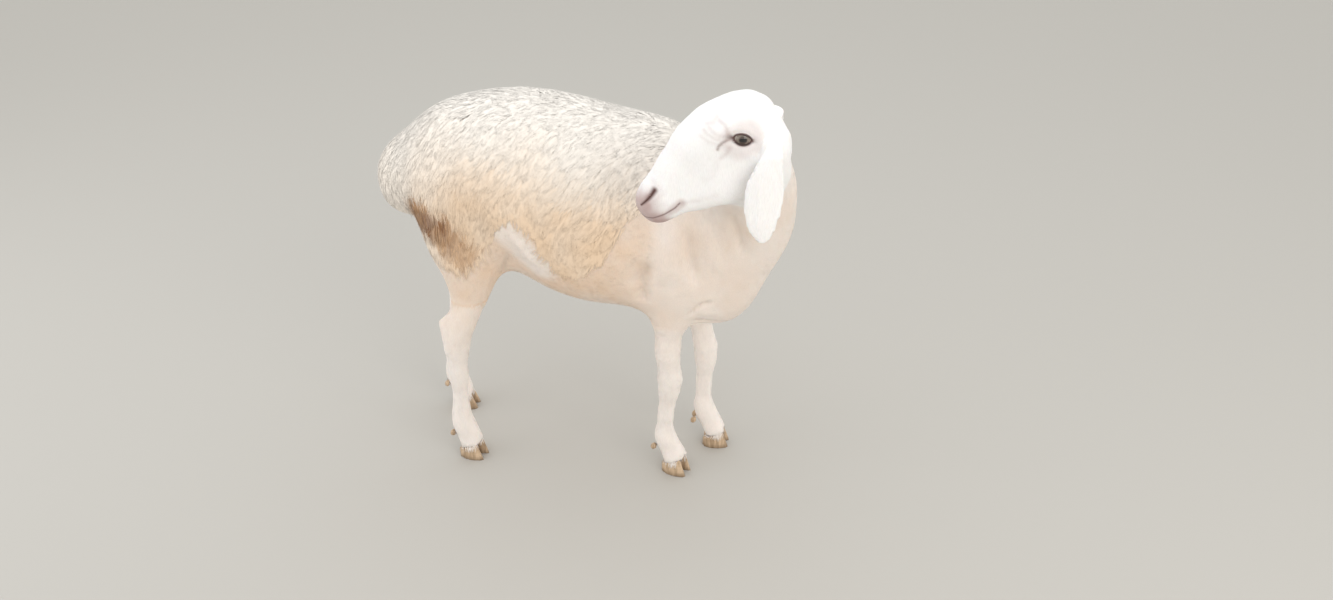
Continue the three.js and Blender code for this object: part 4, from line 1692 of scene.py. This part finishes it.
@dataclass
class Tufts:
    """Tapering three-sided locks, each along a curved spine."""

    spines: Array
    facing: Array
    width: Array
    taper: tuple[float, ...]
    colours: dict[str, Array]
    # Share of the skin's own normal in those of a tuft, and its thickness as a share of its width.
    soften: float
    squash: float
    # Where the three edges of a tuft run round its spine, and the width of its patch of the map.
    edges_deg: tuple[float, ...] = (90, 200, 340)
    patch: float = 0.003

    def mesh(self, chosen: Array) -> bpy.types.Mesh:
        """Join the chosen tufts into one mesh.

        Args:
            chosen: Numbers of the tufts.

        Returns:
            The mesh, with its colours and a small patch of the OFBake map for each tuft.
        """
        spine, facing = self.spines[chosen], self.facing[chosen]
        count, knots = spine.shape[:2]
        rings = knots - 1
        along = unit(np.gradient(spine, axis=1))
        across = unit(np.cross(facing, along))
        up = np.cross(along, across) * self.squash
        angles = np.radians(self.edges_deg)[:, None]
        radius = self.width[chosen, None] / 2 * np.array(self.taper)[None, :]
        out = np.cos(angles) * across[:, :rings, None] + np.sin(angles) * up[:, :rings, None]
        body = spine[:, :rings, None] + out * radius[:, :, None, None]
        points = np.concatenate([body.reshape(count, -1, 3), spine[:, -1:]], axis=1)
        outward = np.concatenate([out.reshape(count, -1, 3), facing[:, -1:]], axis=1)
        skinward = np.concatenate([np.repeat(facing[:, :rings], 3, axis=1), facing[:, -1:]], axis=1)
        faces, corner_uv = self._pattern(rings)
        size = rings * 3 + 1
        corners = (np.arange(count)[:, None, None] * size + faces).reshape(-1, 3)
        mesh = bpy.data.meshes.new("tufts")
        mesh.vertices.add(count * size)
        mesh.vertices.foreach_set("co", points.astype(np.float32).ravel())
        mesh.loops.add(corners.size)
        mesh.loops.foreach_set("vertex_index", corners.astype(np.int32).ravel())
        mesh.polygons.add(len(corners))
        mesh.polygons.foreach_set("loop_start", np.arange(0, corners.size, 3, dtype=np.int32))
        mesh.update(calc_edges=True)
        for name, values in self.colours.items():
            paint(mesh, name, np.repeat(values[chosen], size))
        paint(mesh, "tip", np.tile(np.append(np.repeat(np.arange(rings) / rings, 3), 1.0), count))
        home = unrolled(spine[:, 0])
        flat = home[:, None, None] + (corner_uv - 0.5) * self.patch
        mesh.uv_layers.new(name="OFBake").data.foreach_set("uv", flat.astype(np.float32).ravel())
        mesh.shade_smooth()
        mixed = unit(outward * (1 - self.soften) + skinward * self.soften).reshape(-1, 3)
        mesh.normals_split_custom_set_from_vertices(mixed.tolist())
        return mesh

    @staticmethod
    def _pattern(rings: int) -> tuple[Array, Array]:
        """The triangles of one tuft, and its sides unrolled into a square.

        Args:
            rings: Number of rings below the tip.

        Returns:
            Corners of each triangle, and their places in the square, (n, 3, 2).
        """
        faces, places = [], []
        for ring in range(rings - 1):
            low, high = ring / rings, (ring + 1) / rings
            for k in range(3):
                near, far = ring * 3 + k, ring * 3 + (k + 1) % 3
                faces += [(near, far, far + 3), (near, far + 3, near + 3)]
                left, right = k / 3, (k + 1) / 3
                places.append(((left, low), (right, low), (right, high)))
                places.append(((left, low), (right, high), (left, high)))
        for k in range(3):
            start = (rings - 1) * 3
            faces.append((start + k, start + (k + 1) % 3, rings * 3))
            low = (rings - 1) / rings
            places.append(((k / 3, low), ((k + 1) / 3, low), ((k + 0.5) / 3, 1.0)))
        return np.array(faces), np.array(places, float)


@dataclass
class Fleece:
    """The long soft wool of back, flanks, rump and tail, hanging in loose locks."""

    ground: Ground
    skin: Skin
    per_square_metre: float = 212000
    clump: float = 10.5 * MM
    steps: int = 3
    width: float = 1.6 * MM
    # Share and width of the locks that fill the layer below the others.
    under: float = 0.34
    under_width: float = 8.0 * MM
    # Where those and the others lie, as shares of the depth of the coat.
    under_depth: Span = (0.62, 0.92)
    depth: Span = (0.90, 1.00)
    lifted: float = 0.06
    wave_mm: float = 1.5
    most_in_piece: int = 13000
    gathered: tuple[float, ...] = (0.0, 0.16, 0.36, 0.56)
    taper: tuple[float, ...] = (0.7, 1.0, 0.62)
    seed: int = 11

    def build(self, material: bpy.types.Material) -> None:
        """Lay the fleece in pieces from the rump to the shoulders on each side.

        Args:
            material: Wool.
        """
        rng = np.random.default_rng(self.seed)
        share = self.ground.values("fleece")
        points = coordinates(self.ground.mesh)
        inner = 0.35 + 0.65 * ease(self.skin.markings.fleece(points, 0.06), 0.0, 0.6)
        wanted = self.per_square_metre * ease(share, 0.0, 0.9) * self.ground.padded(inner)
        roots, facing, _ = self.ground.scattered(wanted, rng)
        tufts = self._laid(roots, facing, rng)
        left = roots[:, 1] > self.skin.markings.midline
        for side in (True, False):
            mine = np.flatnonzero(left == side)
            order = mine[np.argsort(roots[mine, 0])]
            parts = math.ceil(len(order) / self.most_in_piece)
            for number, chosen in enumerate(np.array_split(order, parts)):
                name = f"fleece_{'left' if side else 'right'}_{number + 1}"
                show(name, tufts.mesh(chosen), material)

    def _length(self, points: Array) -> Array:
        """Length of the locks at each place: short on the back, long on the flanks and thighs.

        Args:
            points: Places in the shared frame.

        Returns:
            Lengths in metres.
        """
        side = ease(points[:, 2], 0.80, 0.68)
        front = ease(points[:, 0], 0.19, 0.08)
        edge = ease(self.skin.markings.fleece(points, 0.12), 0.0, 1.0)
        stain = self.skin.markings.stain(points)
        return (26 + 17 * side * front + 8 * stain - 13 * (1 - edge)) * MM

    def _lie(self, points: Array, facing: Array, rng: np.random.Generator) -> Array:
        """The way the locks hang: down and a little back, spreading to both sides from the spine.

        Args:
            points: Where the locks grow.
            facing: Normals of the skin there.
            rng: Source of chance.

        Returns:
            Directions in the shared frame.
        """
        hip = ease(points[:, 0], -0.10, -0.24)
        top = np.clip(facing[:, 2], 0, 1)
        back = -0.34 + 0.22 * hip - 0.65 * top
        outward = np.tanh((points[:, 1] - self.skin.markings.midline) / 0.05)
        field_of = np.stack([back, outward * 0.42 * top, np.full(len(points), -1.0)], axis=1)
        swirl = np.stack([noise(points, 45 * MM, 50 + k) for k in range(3)], axis=1)
        loose = 0.30 + 0.15 * top
        return unit(field_of) + loose[:, None] * swirl + 0.16 * rng.normal(size=points.shape)

    def _clumps(self, roots: Array, rng: np.random.Generator) -> tuple[Array, Array, Array]:
        """Gather the roots into clumps.

        Args:
            roots: Where the locks grow.
            rng: Source of chance.

        Returns:
            The root that heads each clump, the clump of each root, and how far from its head it is.
        """
        cells = np.floor(roots / self.clump).astype(int)
        heads = np.unique(cells, axis=0, return_index=True)[1]
        tree = KDTree(len(heads))
        for i, root in enumerate(roots[heads].tolist()):
            tree.insert(root, i)
        tree.balance()
        wander = roots + rng.normal(scale=1.6 * MM, size=roots.shape)
        found = [tree.find(p) for p in wander.tolist()]
        return heads, np.array([f[1] for f in found]), np.array([f[2] for f in found])

    def _heights(self, own: Array, gap: Array, under: Array, rng: np.random.Generator) -> Array:
        """Say how high each lock lies over the skin.

        Args:
            own: Places on the skin along each lock, (n, steps + 1, 3).
            gap: How far each root is from the head of its clump.
            under: Which locks fill the layer below the others.
            rng: Source of chance.

        Returns:
            Heights in metres, (n, steps + 1).
        """
        count, places = len(own), own.reshape(-1, 3)
        depth = self.skin.depth(places).reshape(count, -1)
        depth *= 1 - 0.06 * np.minimum(gap / (0.6 * self.clump), 1.2)[:, None] ** 2
        low, high = rng.uniform(*self.under_depth, count), rng.uniform(*self.depth, count)
        depth *= np.where(under, low, high)[:, None]
        depth *= 0.5 + 0.5 * self.skin.markings.fleece(places, 0.06).reshape(count, -1)
        t = np.linspace(0, 1, self.steps + 1)[None, :]
        rise = 0.35 + 0.65 * np.minimum(t / 0.4, 1.0)
        # a few tips stand off the others
        lifted = ~under & (rng.random(count) < self.lifted)
        return depth * (rise + np.where(lifted, rng.uniform(0.1, 0.45, count), 0)[:, None] * t**2)

    def _laid(self, roots: Array, facing: Array, rng: np.random.Generator) -> Tufts:
        """Gather the roots into clumps and lay every lock along the skin.

        Args:
            roots: Where the locks grow.
            facing: Normals of the skin there.
            rng: Source of chance.

        Returns:
            The locks.
        """
        count = len(roots)
        heads, clump, gap = self._clumps(roots, rng)
        length = self._length(roots[heads]) * rng.uniform(0.82, 1.18, len(heads))
        lie = self._lie(roots[heads], facing[heads], rng)
        guide, guide_facing = self.ground.followed(roots[heads], facing[heads], lie, length, self.steps)
        own_length = length[clump] * rng.uniform(0.78, 1.12, count)
        own_lie = lie[clump] + 0.10 * rng.normal(size=roots.shape)
        own, own_facing = self.ground.followed(roots, facing, own_lie, own_length, self.steps)
        under = rng.random(count) < self.under
        # each lock is drawn towards the one at the head of its clump, most at its tip
        drawn = rng.uniform(0.75, 1.1, count) * np.where(under, 0.3, 1.0)
        pull = np.array(self.gathered)[None, :, None] * drawn[:, None, None]
        turned = unit(own_facing + pull * (guide_facing[clump] - own_facing))
        height = self._heights(own, gap, under, rng)
        spine = own + pull * (guide[clump] - own) + turned * height[:, :, None]
        # and waves to and fro over the skin
        sway = np.cross(unit(np.gradient(spine, axis=1)), turned)
        t = np.linspace(0, 1, self.steps + 1)[None, :]
        phase = t * 1.35 + rng.random(len(heads))[clump, None]
        wave = np.sin(2 * np.pi * phase) * self.wave_mm * MM * t
        spine = spine + sway * wave[:, :, None]
        tone = 0.3 * rng.uniform(-1, 1, len(heads))[clump] + 0.4 * rng.uniform(-1, 1, count)
        tone += 0.5 * noise(roots, 24 * MM, 55)
        seen = spine[:, 2]
        stain = self.skin.markings.stain(seen + 4 * MM * rng.normal(size=roots.shape))
        stain *= 0.72 + 0.28 * rng.random(len(heads))[clump]
        colours = {"warm": self.skin.markings.warmth(seen), "stain": stain, "tone": tone}
        inner = ease(self.skin.markings.fleece(roots, 0.10), 0.1, 0.9)
        width = np.where(under, self.under_width * (0.25 + 0.75 * inner), self.width)
        width *= rng.uniform(0.75, 1.25, count)
        return Tufts(spine, turned, width, self.taper, colours, soften=0.97, squash=0.12)


@dataclass(frozen=True)
class Patch:
    """Short hair on one part of the body: how dense, how long, how high it stands, and which way it lies."""

    name: str
    density: float
    length: float
    stand: float
    width: float
    lie: tuple[float, float, float]


SHORT = (
    Patch("face", 60000, 6.0 * MM, 0.08 * MM, 0.50 * MM, (-1.0, 0.0, -0.25)),
    Patch("ear", 70000, 7.5 * MM, 0.08 * MM, 0.6 * MM, (0.0, 0.0, -1.0)),
    Patch("neck", 42000, 12 * MM, 0.17 * MM, 0.9 * MM, (-0.25, 0.0, -1.0)),
    Patch("belly", 42000, 13 * MM, 0.35 * MM, 0.9 * MM, (-1.0, 0.0, -0.35)),
    Patch("leg", 48000, 10 * MM, 0.25 * MM, 0.8 * MM, (-0.10, 0.0, -1.0)),
    Patch("coronet", 260000, 17.0 * MM, 0.9 * MM, 1.3 * MM, (0.0, 0.0, -1.0)),
    Patch("fetlock", 340000, 20.0 * MM, 1.2 * MM, 1.5 * MM, (-0.8, 0.0, -1.0)),
)


@dataclass
class ShortCoat:
    """The short flat hair of head, neck, belly and legs, as small tufts that break its outline."""

    ground: Ground
    skin: Skin
    taper: Span = (0.35, 1.0)
    # Thickness of the tufts as a share of their width, and that of the thick ones over the claws.
    squash: float = 0.12
    thick_squash: float = 0.3
    thick: tuple[str, ...] = ("coronet", "fetlock")
    seed: int = 23

    def build(self, material: bpy.types.Material) -> None:
        """Lay the short hair, one piece to each part of the body.

        Args:
            material: Short white hair.
        """
        rng = np.random.default_rng(self.seed)
        share = self._shares()
        for patch in SHORT:
            density = self.ground.padded(patch.density * share[patch.name])
            roots, facing, nearest = self.ground.scattered(density, rng)
            lie = np.tile(patch.lie, (len(roots), 1))
            if patch.name == "face":
                lie = self.skin.markings.head.turned(lie)
            lie = lie + 0.22 * np.stack([noise(roots, 22 * MM, 70 + k) for k in range(3)], axis=1)
            lie += 0.10 * rng.normal(size=roots.shape)
            length = patch.length * rng.uniform(0.7, 1.25, len(roots))
            spine, turned = self.ground.followed(roots, facing, lie, length, 2)
            stand = patch.stand * (0.4 + 1.6 * rng.random(len(roots)) ** 3)
            root = np.full(len(roots), -0.35 * MM)
            height = np.stack([root, 0.02 * MM + 0.25 * stand, 0.10 * MM + stand], axis=1)
            spine = spine + turned * height[:, :, None]
            names = ("warm", "stain", "thin", "dark", "head")
            colours = {name: self.ground.values(name)[nearest] for name in names}
            width = patch.width * rng.uniform(0.8, 1.2, len(roots))
            squash = self.thick_squash if patch.name in self.thick else self.squash
            tufts = Tufts(spine, turned, width, self.taper, colours, soften=1.0, squash=squash)
            on_left = self._on_left(patch, roots)
            for side, label in ((True, "left"), (False, "right")):
                mine = np.flatnonzero(on_left == side)
                show(f"hair_{patch.name}_{label}", tufts.mesh(mine), material)

    def _on_left(self, patch: Patch, roots: Array) -> Array:
        """Say which roots are on the animal's own left.

        Args:
            patch: The part of the body.
            roots: Where the hair grows.

        Returns:
            True for each root on the left.
        """
        if patch.name in ("face", "ear"):
            return self.skin.markings.head.local(roots)[:, 1] > 0
        return roots[:, 1] > self.skin.markings.midline

    def _shares(self) -> dict[str, Array]:
        """Say where each part's hair grows.

        Returns:
            For the name of each part, a share for every point of the skin.
        """
        skin, at_head = self.skin, self.skin.markings.head
        points = coordinates(self.ground.mesh)
        fleece, shade, thin = (self.ground.values(name)[: len(points)] for name in ("fleece", "dark", "thin"))
        bare = (1 - fleece) * (1 - ease(-skin.body(points), 2.0, 7.0))
        dark = 1 - ease(shade, 0.15, 0.5)
        head, ear, neck, trunk = skin.of("head", *EYES), skin.of(*EARS), skin.of("neck"), skin.of(*TRUNK)
        leg = ~(head | ear | neck | trunk)
        off_eye = ease(at_head.off_eye(at_head.local(points)), 15, 22)
        low = (points[:, 2] < 0.045) & leg
        heel = np.min([np.linalg.norm(points - middle, axis=1) for middle in dewclaws()], axis=0)
        front = trunk & (points[:, 0] > 0.17)
        return {
            "face": head * dark * off_eye * (1 - 0.75 * thin),
            "ear": ear * dark,
            "neck": (neck | front) * bare,
            "belly": (trunk & ~front) * bare,
            "leg": (leg & ~low) * bare,
            "coronet": low * ease(points[:, 2], 0.023, 0.027),
            "fetlock": leg * ease(heel, 20 * MM, 13 * MM),
        }


def main() -> None:
    """Build the sheep and its studio."""
    logging.basicConfig(level=logging.INFO, format="%(message)s")
    head = HeadFrame.between_eyes()
    markings = Markings(head, middle_of("trunk")[1])
    shape = EyeShape()
    Studio().build()
    hair = ShortHair().make()
    skin = Skin(markings, shape)
    skin.build(hair)
    wet, edge = WetEye().make(), LidEdge().make()
    for side in (1, -1):
        Eye(side, shape, head).build(wet, edge)
    horn = HoofHorn().make()
    claws = [claw for leg in LEGS for claw in Foot(leg).build(horn)]
    ground = Ground(skin.mesh, claws)
    ShortCoat(ground, skin).build(ShortHair().make(tufts=True))
    Fleece(ground, skin).build(Wool().make())


if __name__ == "__main__":
    main()
